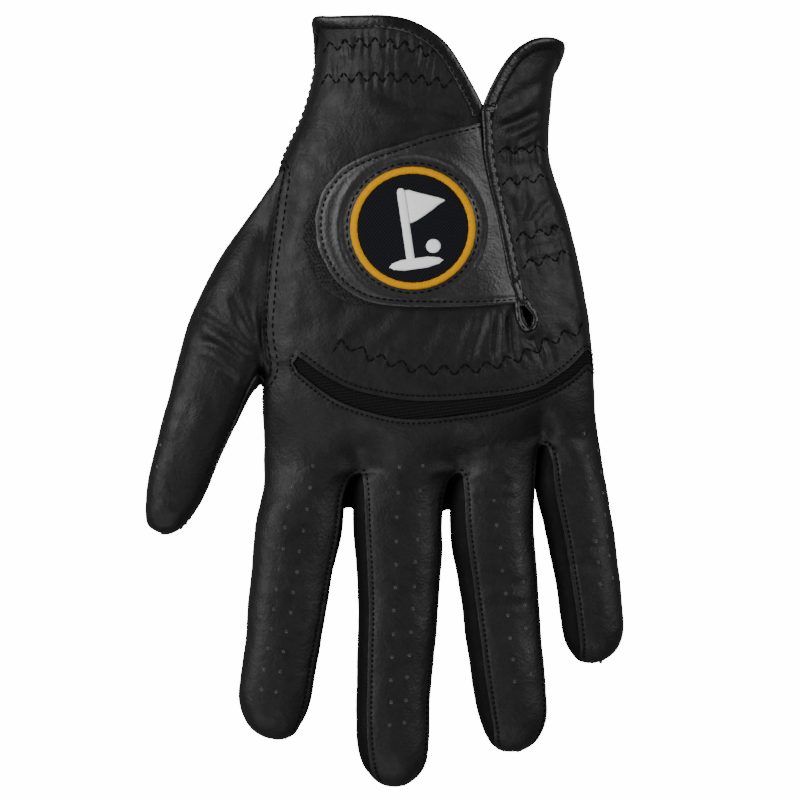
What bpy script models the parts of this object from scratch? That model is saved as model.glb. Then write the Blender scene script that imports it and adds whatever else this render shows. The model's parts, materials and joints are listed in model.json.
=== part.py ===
"""Left-hand golf glove, palm down, fingers towards -Y, thumb towards -X, back of the hand up.

Lengths are in millimetres and become metres when a mesh is made. The origin is on the flat
underside of the palm. The leather skin is one lofted cage: the hand is a stack of closed rows
from the cuff to the finger crotches, each finger is a stack of rings, and the thumb is lofted
from the hole in the hand's side. Every panel is a set of faces of that cage, drawn back from its
seams and thickened inwards with Solidify.
"""

import bmesh
import bpy
import numpy as np
from math import cos, pi, radians, sin
from mathutils import Vector
from mathutils.bvhtree import BVHTree

MM = 0.001

# Leather and trims
LEATHER = 0.8          # thickness of the skin
SEAM = 0.55            # how far a panel stops short of its seam line
TUBE = 1.4             # radius of a rolled binding
TUBE_OFF = 2.4         # distance of a binding's centre from the edge that it wraps
LOOP_TUBE = 1.0        # radius of the cord round the slit's end

# Section of the hand, as shares of its height or half width
WIDEST = 0.42          # height of the widest level
BACK_POWER = 2.6       # how square the back's dome is
BACK_REACH = 0.93      # where the back's corner columns sit
PALM_REACH = 0.9       # where the palm's corner columns sit
PALM_FLAT = 0.45       # how far out the palm stays flat
BACK_INSET = 1.7       # from the outer edge of the hand to the back's corner
PALM_INSET = 4.5       # from either edge to the palm's corner
FINGER_POWER = 0.84    # how round a finger's section is: 1 is an ellipse
BACK_CROWN = 4.5       # rise of the skin over a finger between two crotches
PALM_CROWN = -2.2      # the same on the palm side
FLOOR_GAP = 0.6        # height of the fingers' lowest points

# Cage resolution
BACK_SEGS = 3          # across the back of one finger, and across its palm side
SIDE_SEGS = 2          # down one side
THUMB_SEGS = 5         # across the back of the thumb

# Joint lines
KNUCKLE_Y = -23.0      # the palm crease where the four fingers bend
FINGER_ROOT_Y = -30.0   # halfway from the stretch insert to the crotches
THUMB_BASE_CUT = ((-73.3, -1.0), (-53.0, -19.8))
THUMB_TIP_CUT = ((-81.4, -32.0), (-62.6, -37.8))

# Outlines of the hand as (y, x): the thumb seam and index edge on one side, the outer edge
LEFT_CORNER = [(-56, -47.2), (-30, -47.4), (-16, -48.0), (-5, -49.6), (9, -48.5), (22, -47.4),
               (39, -45.0), (51, -42.2), (64, -36.0), (78, -32.6), (87, -31.4), (95, -33.0)]
LEFT_EDGE = [(-56, -48.9), (-16, -49.5), (30, -47.5), (51, -43.9), (64, -37.4), (78, -33.8),
             (87, -32.6), (95, -34.4)]
RIGHT_EDGE = [(-46, 55.5), (-36, 53.7), (-27, 52.0), (-9, 51.0), (9, 48.5), (18, 47.0), (37, 42.2),
              (46, 39.4), (55, 37.6), (64, 37.8), (73, 38.2), (82, 40.3), (88, 43.2)]
SLIT = [(-35, 35.7), (2.4, 31.4), (15, 26.6), (29, 22.9), (43, 19.8), (52, 18.4), (68, 17.2)]
CUFF_THUMB_SIDE = [(-34, 94.6), (-14, 94.7), (-6, 93.7), (0, 91.0), (6, 86.4), (11, 78.7),
                   (17.2, 67.1)]
CUFF_OUTER_SIDE = [(17.2, 67.1), (20.4, 73.2), (23.5, 79.4), (27.8, 84.5), (32, 87.3), (37, 88.5),
                   (43, 87.0)]
CUFF_PALM_Y = 62.0
CUFF_RISE = 14.0       # how much the cuff climbs from the palm's middle to its sides
INSERT_PALM_Y = -12.0  # the palm row level with the stretch insert
INSERT_UPPER = [(-50, -6.0), (-41, -8.0), (-20, -18.9), (-1, -21.8), (20, -19.8), (36, -15.0),
                (51, -5.5)]
INSERT_LOWER = [(-50, -16.0), (-36, -16.5), (-21, -23.8), (-4, -27.2), (12, -25.8), (28, -22.3),
                (44, -15.0), (52, -10.5)]
HAND_HEIGHT = [(-43, 22.0), (-31, 26.0), (-15, 29.5), (0, 31.0), (30, 33.0), (60, 36.0),
               (95, 38.0)]
ROW_STEPS = (1.0, 0.85, 0.70, 0.56, 0.39, 0.25, 0.12, 0.0)  # from the cuff to the stretch insert
THUMB_HOLE_TOP = 3     # index in ROW_STEPS of the row where the thumb piece starts
SLIT_END = 5           # index in ROW_STEPS of the row where the slit ends

# Where two fingers meet: on the back, and on the palm side (x, y, z)
CROTCH_BACK = [(-47.4, -42.5, 15.5), (-19.8, -43.3, 17.5), (10.4, -43.6, 17.5),
               (35.7, -34.8, 17.0), (53.0, -35.0, 15.0)]
CROTCH_PALM = [(-45.6, -54.0, 3.2), (-23.4, -54.6, 2.6), (6.8, -55.2, 2.6),
               (31.5, -43.0, 2.6), (52.0, -44.0, 3.2)]

# Fingers: rings as (y, centre x, width, height), the ring that is the joint, the direction
# (degrees from -Y towards +X), the tip, and the seams round the section in degrees from +X
FINGERS = {
    "index": dict(
        rings=[(-60.5, -38.4, 26.2, 19.5), (-77, -41.0, 24.6, 18.6), (-93, -43.3, 23.2, 17.8),
               (-108, -45.4, 22.4, 17.0), (-117, -46.0, 19.4, 15.0), (-122.8, -45.8, 12.6, 10.2)],
        joint=1, lean=-7.4, tip=(-45.5, -125.7), seams=(26, 160, 212, 326)),
    "middle": dict(
        rings=[(-60.5, -8.5, 26.6, 20.0), (-80, -8.3, 25.2, 19.0), (-100, -9.1, 23.2, 18.0),
               (-120, -9.6, 22.2, 17.0), (-131, -9.5, 19.2, 15.0), (-136.8, -9.4, 12.6, 10.0)],
        joint=1, lean=-1.8, tip=(-9.3, -139.8), seams=(14, 130, 214, 324)),
    "ring": dict(
        rings=[(-60.5, 20.5, 25.2, 19.5), (-77, 22.6, 24.0, 18.6), (-94, 24.3, 22.8, 17.8),
               (-110, 26.1, 22.0, 16.8), (-120.5, 26.8, 19.2, 14.6), (-126.4, 26.7, 12.2, 10.0)],
        joint=1, lean=5.6, tip=(26.6, -129.4), seams=(14, 124, 212, 324)),
    "little": dict(
        rings=[(-49.5, 45.2, 21.4, 17.5), (-62, 47.6, 21.0, 17.0), (-76, 49.8, 20.0, 16.2),
               (-88, 51.3, 19.2, 15.4), (-95, 51.7, 16.8, 13.6), (-100, 51.7, 11.0, 9.4)],
        joint=1, lean=8.6, tip=(51.6, -102.5), seams=(20, 122, 212, 326)),
}

# Thumb rings: the outer and inner side in plan, height, lowest point; two of them are joints
THUMB_RINGS = [((-58.0, 29.0), (-50.0, -17.0), 25.0, 0.8),
               ((-67.4, 11.5), (-51.2, -18.2), 24.5, 0.8),
               (THUMB_BASE_CUT[0], THUMB_BASE_CUT[1], 22.5, 0.8),
               ((-77.6, -16.5), (-57.6, -28.5), 20.5, 0.8),
               (THUMB_TIP_CUT[0], THUMB_TIP_CUT[1], 18.6, 0.8),
               ((-84.4, -43.5), (-66.2, -46.4), 17.2, 0.8),
               ((-85.0, -53.0), (-69.6, -53.6), 15.0, 1.6),
               ((-82.8, -58.8), (-74.0, -58.8), 10.0, 4.0)]
THUMB_TIP = (-79.3, -62.0, 8.8)
THUMB_BASE_RING = 2
THUMB_TIP_RING = 4
THUMB_SEAMS = (12, 160, 205, 335)

# Closure tab: upper and lower edges from the rounded free end to the slit, and its layers
TAB_UPPER = [(-32.2, 31.5), (-30.2, 40.5), (-26.0, 47.5), (-19.0, 51.8), (-8.0, 55.6),
             (2.0, 58.8), (15.6, 61.6)]
TAB_LOWER = [(-32.0, 28.0), (-30.0, 20.8), (-26.0, 14.2), (-19.0, 8.8), (-8.0, 7.0), (8.0, 6.8),
             (26.6, 7.8)]
PAD_UPPER = [(-36.9, 29.5), (-34.6, 37.0), (-29.8, 42.8), (-20.0, 46.8), (-6.0, 48.0),
             (6.0, 48.0)]
PAD_LOWER = [(-36.9, 27.5), (-35.6, 20.0), (-30.8, 13.0), (-21.0, 11.0), (-6.0, 10.4),
             (6.0, 10.4)]
HOOK_SHRINK = 6.0      # margin between the tab's edge and the hook pad
PATCH_CENTRE = (-3.7, 30.6)
PATCH_R = 18.5
PATCH_RING_W = 2.1
MOTIF_TILT = radians(8)
MOTIF_SHIFT = 1.5      # the pin stands this far left of the patch's centre
# The flag, its pin and its foot from the top down: (height, right edge, left edge)
MOTIF = [(12.0, 1.1, -1.1), (11.0, 1.3, -1.1), (10.2, 3.4, -1.1), (7.6, 9.0, -1.1),
         (5.0, 9.0, -1.1), (2.4, 3.4, -1.1), (1.4, 1.1, -1.1), (-4.0, 1.1, -1.1),
         (-8.6, 1.1, -1.1), (-9.6, 5.6, -5.6), (-11.6, 5.6, -5.6)]
LAYERS = {             # height of each layer's underside over the back, and its thickness
    "loop_pad": (0.6, 1.0), "hook_pad": (2.1, 0.8), "tab_lining": (3.4, 0.6),
    "tab_leather": (4.2, 0.8), "patch_base": (5.4, 0.6), "patch_ring": (6.4, 0.5),
    "patch_motif": (6.4, 0.5)}
SLIT_CORD_LIFT = 2.0   # height of the slit's end loop over the back
SLIT_TUBE_SIDE = 1.9   # the slit's binding lies this far beside the slit
SLIT_TUBE_LIFT = 2.3   # and this high over the back

# Flat elastics sewn under the leather as (start, end, width), with a bow in y at mid length
ELASTICS = {
    "cuff_elastic_upper": ((-27.0, 86.0), (-1.0, 84.5), 6.0, 0.0),
    "cuff_elastic_lower": ((-28.0, 76.0), (6.0, 74.5), 6.0, 0.0),
    "outer_elastic_upper": ((22.5, 50.0), (33.0, 49.5), 12.0, 0.0),
    "outer_elastic_lower": ((28.0, 24.0), (40.0, 24.0), 11.0, 0.0),
    "knuckle_elastic": ((-26.0, -4.5), (43.0, -2.0), 6.0, -9.5),
}
ELASTIC_DEPTH = 1.25   # below the outer face, clear of the leather
ELASTIC_THICK = 0.7

# Joints: the body's parent joint, the pivot on its axis, and the pieces that ride on it
JOINTS = {
    "knuckle_bend": (None, (0, KNUCKLE_Y, 0),
                     ("finger_backs_lower", "finger_palms_lower", "fourchette_")),
    "index_bend": ("knuckle_bend", (-41.0, -77.0, 0), ("index_",)),
    "middle_bend": ("knuckle_bend", (-8.3, -80.0, 0), ("middle_",)),
    "ring_bend": ("knuckle_bend", (22.6, -77.0, 0), ("ring_",)),
    "little_bend": ("knuckle_bend", (47.6, -62.0, 0), ("little_",)),
    "thumb_base_bend": (None, (-63.15, -10.4, 0), ("thumb_back_lower", "thumb_palm_lower")),
    "thumb_tip_bend": ("thumb_base_bend", (-72.0, -34.9, 0),
                       ("thumb_back_tip", "thumb_palm_tip")),
    "tab_open": (None, (21.3, 34.72, 37.8), ("tab_", "hook_pad", "patch_")),
}

COLOURS = {            # base colour, roughness
    "leather": ((0.012, 0.012, 0.013), 0.45), "knit": ((0.006, 0.006, 0.007), 0.95),
    "elastic": ((0.02, 0.02, 0.02), 0.8), "loop": ((0.008, 0.008, 0.009), 1.0),
    "twill": ((0.006, 0.008, 0.016), 0.8), "gold_thread": ((0.9, 0.42, 0.02), 0.5),
    "white_thread": ((0.8, 0.8, 0.8), 0.5)}


def at(table, value):
    """The second column of a table at a value of its first."""
    return float(np.interp(value, [row[0] for row in table], [row[1] for row in table]))


def lerp(a, b, t):
    return a + (b - a) * t


def dome(across, height):
    """Height of the back over the palm plane, for a place across the hand from -1 to 1."""
    middle = WIDEST * height
    crown = (1 - abs(across) ** BACK_POWER) ** (1 / BACK_POWER)
    return middle + (height - middle) * crown


def belly(across, height):
    """Height of the palm side: flat in the middle, rising to the sides."""
    rise = max(0.0, (abs(across) - PALM_FLAT) / (1 - PALM_FLAT))
    return WIDEST * height * (1 - (1 - rise ** 3) ** 0.5)


class Skin:
    """The cage: shared vertices, and faces that each carry the name of their panel."""

    def __init__(self):
        self.points = []
        self.faces = []
        self.labels = []

    def vertex(self, x, y, z):
        self.points.append(Vector((x, y, z)))
        return len(self.points) - 1

    def face(self, label, *corners):
        self.faces.append(tuple(dict.fromkeys(corners)))
        self.labels.append(label)

    def band(self, ring_a, ring_b, labels):
        """Faces between two closed loops, the first one nearer the cuff."""
        count = len(ring_a)
        for i in range(count):
            k = (i + 1) % count
            if labels[i]:
                self.face(labels[i], ring_a[i], ring_b[i], ring_b[k], ring_a[k])


skin = Skin()
COLUMNS = 4 * BACK_SEGS
SLIT_COLUMN = 3 * BACK_SEGS
LOWER_NAMES = (["finger_backs_lower"] * (COLUMNS + 1) + ["finger_palms_lower"] * (COLUMNS + 2)
               + ["finger_backs_lower"])


def column_x(left, slit, right):
    """X of every dorsal column, evenly to the slit line and evenly from there on."""
    inner = [lerp(left, slit, i / SLIT_COLUMN) for i in range(SLIT_COLUMN)]
    outer = [lerp(slit, right, i / BACK_SEGS) for i in range(BACK_SEGS + 1)]
    return inner + outer


def hand_loop(back, palm):
    """One closed row: the back from left to right, down the side, the palm, and up again."""
    right = side_points(back[-1], palm[-1], RIGHT_EDGE)
    left = side_points(back[0], palm[0], LEFT_EDGE)
    loop = [skin.vertex(*p) for p in back + right + palm[::-1] + left[::-1]]
    return loop


def side_points(top, bottom, edge):
    """The points between the back's corner and the palm's, out on the hand's edge."""
    points = []
    for i in range(1, SIDE_SEGS):
        t = i / SIDE_SEGS
        y = lerp(top[1], bottom[1], 0.35 * t / 0.5)
        points.append((at(edge, y), y, lerp(top[2], bottom[2], t)))
    return points


def back_points(xs, ys):
    """Points of a row over the back, one per column."""
    points = []
    for x, y in zip(xs, ys):
        across = -BACK_REACH + 2 * BACK_REACH * (x - xs[0]) / (xs[-1] - xs[0])
        points.append((x, y, dome(across, at(HAND_HEIGHT, y))))
    return points


def palm_points(y_middle, y_left, y_right):
    """Points of a row over the palm, which can climb towards either side."""
    left = at(LEFT_EDGE, y_left) + PALM_INSET
    right = at(RIGHT_EDGE, y_right) - PALM_INSET
    points = []
    for i in range(COLUMNS + 1):
        t = i / COLUMNS
        across = -PALM_REACH + 2 * PALM_REACH * t
        lift = max(0.0, (abs(across) - 0.6) / 0.3) ** 2
        y_end = y_left if t < 0.5 else y_right
        y = lerp(y_middle, y_end, lift)
        points.append((lerp(left, right, t), y, belly(across, at(HAND_HEIGHT, y))))
    return points


def columns_between(left_y, slit_y, right_y):
    """The columns' x, where each of the three guiding lines is read at its own y."""
    right = at(RIGHT_EDGE, right_y) - BACK_INSET
    return column_x(at(LEFT_CORNER, left_y), at(SLIT, slit_y), right)


def hand_rows():
    """Rows from the cuff down to the knuckle line, each a closed loop of vertices."""
    upper_x = column_x(-48.6, 32.8, 49.2)
    cuff_x = column_x(-33.0, at(SLIT, 67), 41.6)
    rows = []
    for t in ROW_STEPS:
        ys = []
        for i in range(COLUMNS + 1):
            table = CUFF_THUMB_SIDE if i <= SLIT_COLUMN else CUFF_OUTER_SIDE
            ys.append(lerp(at(INSERT_UPPER, upper_x[i]), at(table, cuff_x[i]), t))
        xs = columns_between(ys[0], ys[SLIT_COLUMN], ys[-1])
        middle = lerp(INSERT_PALM_Y, CUFF_PALM_Y, t)
        side = middle + CUFF_RISE * t ** 3
        rows.append(hand_loop(back_points(xs, ys), palm_points(middle, side, side)))
    xs = columns_between(-16, -22, -12)
    lower = [at(INSERT_LOWER, x) for x in xs]
    rows.append(hand_loop(back_points(xs, lower), palm_points(KNUCKLE_Y, KNUCKLE_Y, KNUCKLE_Y)))
    xs = columns_between(FINGER_ROOT_Y, FINGER_ROOT_Y, FINGER_ROOT_Y)
    ys = [lerp(y, FINGER_ROOT_Y - 9, 0.5) for y in lower]
    palm = palm_points(FINGER_ROOT_Y - 8, FINGER_ROOT_Y - 5, FINGER_ROOT_Y - 1)
    rows.append(hand_loop(back_points(xs, ys), palm))
    return rows


def across_fingers(corners, crown):
    """Points from corner to corner of every finger, raised by a crown between them."""
    points = []
    for a, b in zip(corners, corners[1:]):
        for i in range(BACK_SEGS):
            t = i / BACK_SEGS
            lift = crown * sin(pi * t)
            points.append((lerp(a[0], b[0], t), lerp(a[1], b[1], t), lerp(a[2], b[2], t) + lift))
    return points + [corners[-1]]


def section(centre, across, half_width, bottom, height, seams, counts):
    """A rounded section as a closed loop that starts at the back's left seam."""
    right_back, left_back, left_palm, right_palm = seams
    spans = [(left_back, right_back, counts[0]), (right_back, right_palm - 360, counts[1]),
             (right_palm - 360, left_palm - 360, counts[2]), (left_palm, left_back, counts[1])]
    loop = []
    for start, end, count in spans:
        for i in range(count):
            angle = radians(lerp(start, end, i / count))
            wide = abs(cos(angle)) ** FINGER_POWER * (1 if cos(angle) > 0 else -1)
            tall = abs(sin(angle)) ** FINGER_POWER * (1 if sin(angle) > 0 else -1)
            place = centre + across * (half_width * wide)
            loop.append(skin.vertex(place.x, place.y, bottom + height / 2 * (1 + tall)))
    return loop


def tip_fan(ring, tip, labels):
    """Close a tube with triangles to one point."""
    pole = skin.vertex(*tip)
    skin.band(ring, [pole] * len(ring), labels)


def finger_labels(name, neighbours, lower):
    """Panel names round one finger: back, right side, palm, left side."""
    left, right = neighbours
    back, palm = name + "_back", name + "_palm"
    if lower:
        back, palm = "finger_backs_lower", "finger_palms_lower"
    if lower:
        right_side = [f"fourchette_{name}_{right}"] * SIDE_SEGS if right else [back, palm]
        left_side = [f"fourchette_{left}_{name}"] * SIDE_SEGS if left else [palm, back]
    else:
        right_side = [f"{name}_side_to_{right}"] * SIDE_SEGS if right else [back, palm]
        left_side = [f"{name}_side_to_{left}"] * SIDE_SEGS if left else [palm, back]
    return [back] * BACK_SEGS + right_side + [palm] * BACK_SEGS + left_side


def build_hand():
    """The skin from the cuff to the finger crotches; its rows, and the row of the crotches."""
    rows = hand_rows()
    back = across_fingers(CROTCH_BACK, BACK_CROWN)
    palm = across_fingers(CROTCH_PALM, PALM_CROWN)
    crotch_row = hand_loop(back, palm)
    last = len(rows) - 1
    for r in range(last):
        names = hand_labels(r, last)
        if r < SLIT_END:
            slit_band(rows[r], rows[r + 1], names, r)
        else:
            skin.band(rows[r], rows[r + 1], names)
    skin.band(rows[last], crotch_row, LOWER_NAMES)
    return rows, crotch_row


def hand_labels(r, last):
    """Panel names round the row that starts at index r; the last row is past the knuckle line."""
    if r == last - 1:
        return LOWER_NAMES
    names = ["back_panel"] * (COLUMNS + 1) + ["palm_panel"] * (COLUMNS + 2) + ["back_panel"]
    if r == last - 2:
        names[1:COLUMNS] = ["knuckle_insert"] * (COLUMNS - 1)
    if r >= THUMB_HOLE_TOP:
        names[-2:] = [None, None]
    return names


slit_copies = {}


def slit_band(ring_a, ring_b, names, r):
    """A band whose right part has its own copies of the slit's vertices."""
    skin.band(ring_a, ring_b, [n if i < SLIT_COLUMN else None for i, n in enumerate(names)])
    right = []
    for ring, split in ((ring_a, True), (ring_b, r + 1 < SLIT_END)):
        ring = list(ring)
        if split:
            key = ring[SLIT_COLUMN]
            if key not in slit_copies:
                slit_copies[key] = skin.vertex(*skin.points[key])
            ring[SLIT_COLUMN] = slit_copies[key]
        right.append(ring)
    skin.band(right[0], right[1], [n if i >= SLIT_COLUMN else None for i, n in enumerate(names)])


def build_fingers(crotch_row):
    """Four tubes that start at the crotch row, with a shared wall between neighbours."""
    names = list(FINGERS)
    palm_start = COLUMNS + SIDE_SEGS
    backs = crotch_row[:COLUMNS + 1]
    palms = crotch_row[palm_start:palm_start + COLUMNS + 1][::-1]
    walls = [[crotch_row[-1]]]
    for i in range(1, 4):
        top, bottom = Vector(CROTCH_BACK[i]), Vector(CROTCH_PALM[i])
        walls.append([skin.vertex(*lerp(top, bottom, k / SIDE_SEGS)) for k in range(1, SIDE_SEGS)])
    walls.append([crotch_row[COLUMNS + 1]])
    for f, name in enumerate(names):
        spec = FINGERS[name]
        low, high = f * BACK_SEGS, (f + 1) * BACK_SEGS
        ring = (backs[low:high + 1] + walls[f + 1] + palms[low:high + 1][::-1] + walls[f][::-1])
        neighbours = (names[f - 1] if f else None, names[f + 1] if f < 3 else None)
        lean = radians(spec["lean"])
        across = Vector((cos(lean), sin(lean), 0))
        for k, (y, x, width, height) in enumerate(spec["rings"]):
            bottom = FLOOR_GAP + max(0.0, 17.0 - height) * 0.35
            new = section(Vector((x, y, 0)), across, width / 2, bottom, height, spec["seams"],
                          (BACK_SEGS, SIDE_SEGS, BACK_SEGS))
            skin.band(ring, new, finger_labels(name, neighbours, k <= spec["joint"]))
            ring = new
        tip_z = FLOOR_GAP + spec["rings"][0][3] * WIDEST
        tip_fan(ring, (*spec["tip"], tip_z), finger_labels(name, neighbours, False))


def build_thumb(rows):
    """The thumb tube, lofted from the hole's edge; its left is the end near the cuff."""
    hole = rows[THUMB_HOLE_TOP:len(rows) - 1]
    side_end = len(hole[0]) - 1
    palm_left = side_end - 1
    ring = [row[0] for row in hole] + [hole[-1][side_end]] + [row[palm_left] for row in hole[::-1]]
    ring.append(hole[0][side_end])
    upper = [True] * (THUMB_SEGS + 1) + [False] * (THUMB_SEGS + 2) + [True]
    for k, (outer, inner, height, bottom) in enumerate(THUMB_RINGS):
        outer, inner = Vector((*outer, 0)), Vector((*inner, 0))
        across = (inner - outer).normalized()
        new = section((outer + inner) / 2, across, (inner - outer).length / 2, bottom, height,
                      THUMB_SEAMS, (THUMB_SEGS, SIDE_SEGS, THUMB_SEGS))
        part = "base" if k <= THUMB_BASE_RING else "lower" if k <= THUMB_TIP_RING else "tip"
        skin.band(ring, new, [f"thumb_back_{part}" if up else f"thumb_palm_{part}" for up in upper])
        ring = new
    tip_fan(ring, THUMB_TIP, ["thumb_back_tip" if up else "thumb_palm_tip" for up in upper])


def material(name):
    """A plain Principled material."""
    found = bpy.data.materials.get(name)
    if found:
        return found
    made = bpy.data.materials.new(name)
    made.use_nodes = True
    shader = made.node_tree.nodes["Principled BSDF"]
    colour, roughness = COLOURS[name]
    shader.inputs["Base Color"].default_value = (*colour, 1)
    shader.inputs["Roughness"].default_value = roughness
    return made


def add_object(name, points, faces, slot, thickness=0.0):
    """A mesh object in metres; a positive thickness grows against the face normals."""
    mesh = bpy.data.meshes.new(name)
    mesh.from_pydata([tuple(p * MM for p in point) for point in points], [], faces)
    mesh.materials.append(material(slot))
    form = bmesh.new()
    form.from_mesh(mesh)
    bmesh.ops.remove_doubles(form, verts=form.verts, dist=1e-6)
    form.to_mesh(mesh)
    form.free()
    mesh.shade_smooth()
    mesh.set_sharp_from_angle(angle=radians(50))
    made = bpy.data.objects.new(name, mesh)
    glove.objects.link(made)
    if thickness:
        solid = made.modifiers.new("Solidify", "SOLIDIFY")
        solid.thickness = thickness * MM
        solid.offset = -1
    return made


def border_pull(points, faces):
    """Move the open edges of a panel in by SEAM, along the surface."""
    owners = {}
    for face in faces:
        for a, b in zip(face, face[1:] + face[:1]):
            owners.setdefault(frozenset((a, b)), []).append(face)
    inward = {}
    for edge, used in owners.items():
        if len(used) != 1:
            continue
        a, b = (points[i] for i in edge)
        face = used[0]
        middle = sum((points[i] for i in face), Vector()) / len(face)
        along = (b - a).normalized()
        away = middle - (a + b) / 2
        away = (away - along * away.dot(along)).normalized()
        for i in edge:
            inward.setdefault(i, []).append(away)
    moved = {i: p.copy() for i, p in enumerate(points)}
    for i, normals in inward.items():
        total = sum(normals, Vector())
        scale = max(0.35, total.length / len(normals))
        moved[i] = points[i] + total.normalized() * (SEAM / scale)
    return moved


def panel(name, slot="leather", thickness=LEATHER):
    """One panel of the skin as a thickened open surface."""
    faces = [f for f, label in zip(skin.faces, skin.labels) if label == name]
    used = sorted({i for f in faces for i in f})
    local = {v: i for i, v in enumerate(used)}
    faces = [tuple(local[i] for i in f) for f in faces]
    moved = border_pull([skin.points[i] for i in used], faces)
    return add_object(name, [moved[i] for i in range(len(used))], faces, slot, thickness)


def on_back(x, y, lift):
    """The point over the back of the hand at a height above the leather."""
    hit = tree.ray_cast(Vector((x, y, 100)), Vector((0, 0, -1)))[0]
    return Vector((x, y, hit.z + lift))


def sheet(name, upper, lower, columns, lift, thickness, slot, closed=False):
    """A layer that follows the back, ruled between two edges of equal point count."""
    points = []
    for a, b in zip(upper, lower):
        for c in range(columns + 1):
            t = c / columns
            points.append(on_back(lerp(a[0], b[0], t), lerp(a[1], b[1], t), lift + thickness))
    width = columns + 1
    faces = []
    count = len(upper)
    for i in range(count if closed else count - 1):
        k = (i + 1) % count
        for c in range(columns):
            faces.append((i * width + c, i * width + c + 1, k * width + c + 1, k * width + c))
    return add_object(name, points, faces, slot, thickness)


def tube(name, points, radius, slot, closed=False):
    """A rolled binding: a curve with a round bevel."""
    curve = bpy.data.curves.new(name, "CURVE")
    curve.dimensions = "3D"
    curve.bevel_depth = radius * MM
    curve.bevel_resolution = 2
    curve.use_fill_caps = not closed
    spline = curve.splines.new("POLY")
    spline.points.add(len(points) - 1)
    spline.use_cyclic_u = closed
    for target, point in zip(spline.points, points):
        target.co = (*(c * MM for c in point), 1)
    curve.materials.append(material(slot))
    made = bpy.data.objects.new(name, curve)
    glove.objects.link(made)
    return made


def edge_line(ids, inner_ids):
    """Points just outside an edge of the skin, a binding's distance from it."""
    line = []
    for a, b in zip(ids, inner_ids):
        outward = (skin.points[a] - skin.points[b]).normalized()
        line.append(skin.points[a] + outward * TUBE_OFF)
    return line


def finer(points, parts=2):
    """The same line with points added between its own."""
    line = []
    for a, b in zip(points, points[1:]):
        line += [lerp(a, b, i / parts) for i in range(parts)]
    return line + [points[-1]]


def build_bindings(rows):
    """Rolled bindings along the cuff and down the slit, and the loop at the slit's end."""
    top, below = rows[0], rows[1]
    palm = range(COLUMNS + SIDE_SEGS - 1, 2 * COLUMNS + SIDE_SEGS + 2)
    tube("cuff_binding_thumb_side", edge_line(top[:SLIT_COLUMN], below[:SLIT_COLUMN]), TUBE, "leather")
    outer = edge_line(top[SLIT_COLUMN + 1:COLUMNS + 1], below[SLIT_COLUMN + 1:COLUMNS + 1])
    tube("cuff_binding_outer_side", outer, TUBE, "leather")
    ring = edge_line([top[i] for i in palm], [below[i] for i in palm])
    tube("cuff_binding_palm", ring[1:-1], TUBE, "leather")
    slit = [skin.points[row[SLIT_COLUMN]] for row in rows[:SLIT_END + 1]]
    slit[0] = lerp(slit[0], slit[1], 0.12)
    slit[-1] = lerp(slit[-1], slit[-2], 0.35)
    lifted = [on_back(p.x + SLIT_TUBE_SIDE, p.y, SLIT_TUBE_LIFT) for p in finer(slit)]
    tube("slit_binding", lifted, TUBE, "leather")
    centre = Vector((at(SLIT, 2.4) + 0.4, 2.4, 0))
    loop = []
    for i in range(12):
        angle = 2 * pi * i / 12
        wide = 2.6 * (1 - 0.35 * sin(angle)) * cos(angle)
        tall = 3.1 * sin(angle)
        loop.append(on_back(centre.x + wide, centre.y + tall, SLIT_CORD_LIFT))
    tube("slit_end_loop", loop, LOOP_TUBE, "leather", closed=True)


def motif_edges():
    """The flag on its pin, as left and right edges from the top of the pin to its foot."""
    left, right = [], []
    for v, right_u, left_u in MOTIF:
        for edge, u in ((left, left_u - MOTIF_SHIFT), (right, right_u - MOTIF_SHIFT)):
            x = u * cos(MOTIF_TILT) - v * sin(MOTIF_TILT)
            y = u * sin(MOTIF_TILT) + v * cos(MOTIF_TILT)
            edge.append((PATCH_CENTRE[0] + x, PATCH_CENTRE[1] + y))
    return left, right


def circle(radius, count=28):
    """Points round the patch's centre."""
    return [(PATCH_CENTRE[0] + radius * cos(2 * pi * i / count),
             PATCH_CENTRE[1] + radius * sin(2 * pi * i / count)) for i in range(count)]


def build_closure():
    """The loop pad on the back, the tab with its hook pad, and the badge on the tab."""
    sheet("loop_pad", PAD_UPPER, PAD_LOWER, 5, *LAYERS["loop_pad"], "loop")
    hook_upper = [(x + HOOK_SHRINK, y - HOOK_SHRINK) for x, y in TAB_UPPER[:-2]]
    hook_lower = [(x + HOOK_SHRINK, y + HOOK_SHRINK * 0.6) for x, y in TAB_LOWER[:-2]]
    sheet("hook_pad", hook_upper, hook_lower, 5, *LAYERS["hook_pad"], "loop")
    sheet("tab_lining", TAB_UPPER, TAB_LOWER, 6, *LAYERS["tab_lining"], "leather")
    sheet("tab_leather", TAB_UPPER, TAB_LOWER, 6, *LAYERS["tab_leather"], "leather")
    ring = PATCH_R - PATCH_RING_W
    rim = circle(PATCH_R)
    sheet("patch_base", circle(0), rim, 3, *LAYERS["patch_base"], "twill", closed=True)
    sheet("patch_ring", circle(ring), rim, 1, *LAYERS["patch_ring"], "gold_thread", closed=True)
    left, right = motif_edges()
    sheet("patch_motif", right, left, 2, *LAYERS["patch_motif"], "white_thread")


def build_elastics():
    """Flat elastics under the gathered parts of the leather."""
    steps = 8
    for name, (start, end, width, bow) in ELASTICS.items():
        middle = []
        for i in range(steps + 1):
            t = i / steps
            middle.append((lerp(start[0], end[0], t), lerp(start[1], end[1], t) + bow * sin(pi * t)))
        upper = [(x, y + width / 2) for x, y in middle]
        lower = [(x, y - width / 2) for x, y in middle]
        sheet(name, upper, lower, 1, -ELASTIC_DEPTH - ELASTIC_THICK, ELASTIC_THICK, "elastic")


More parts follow.
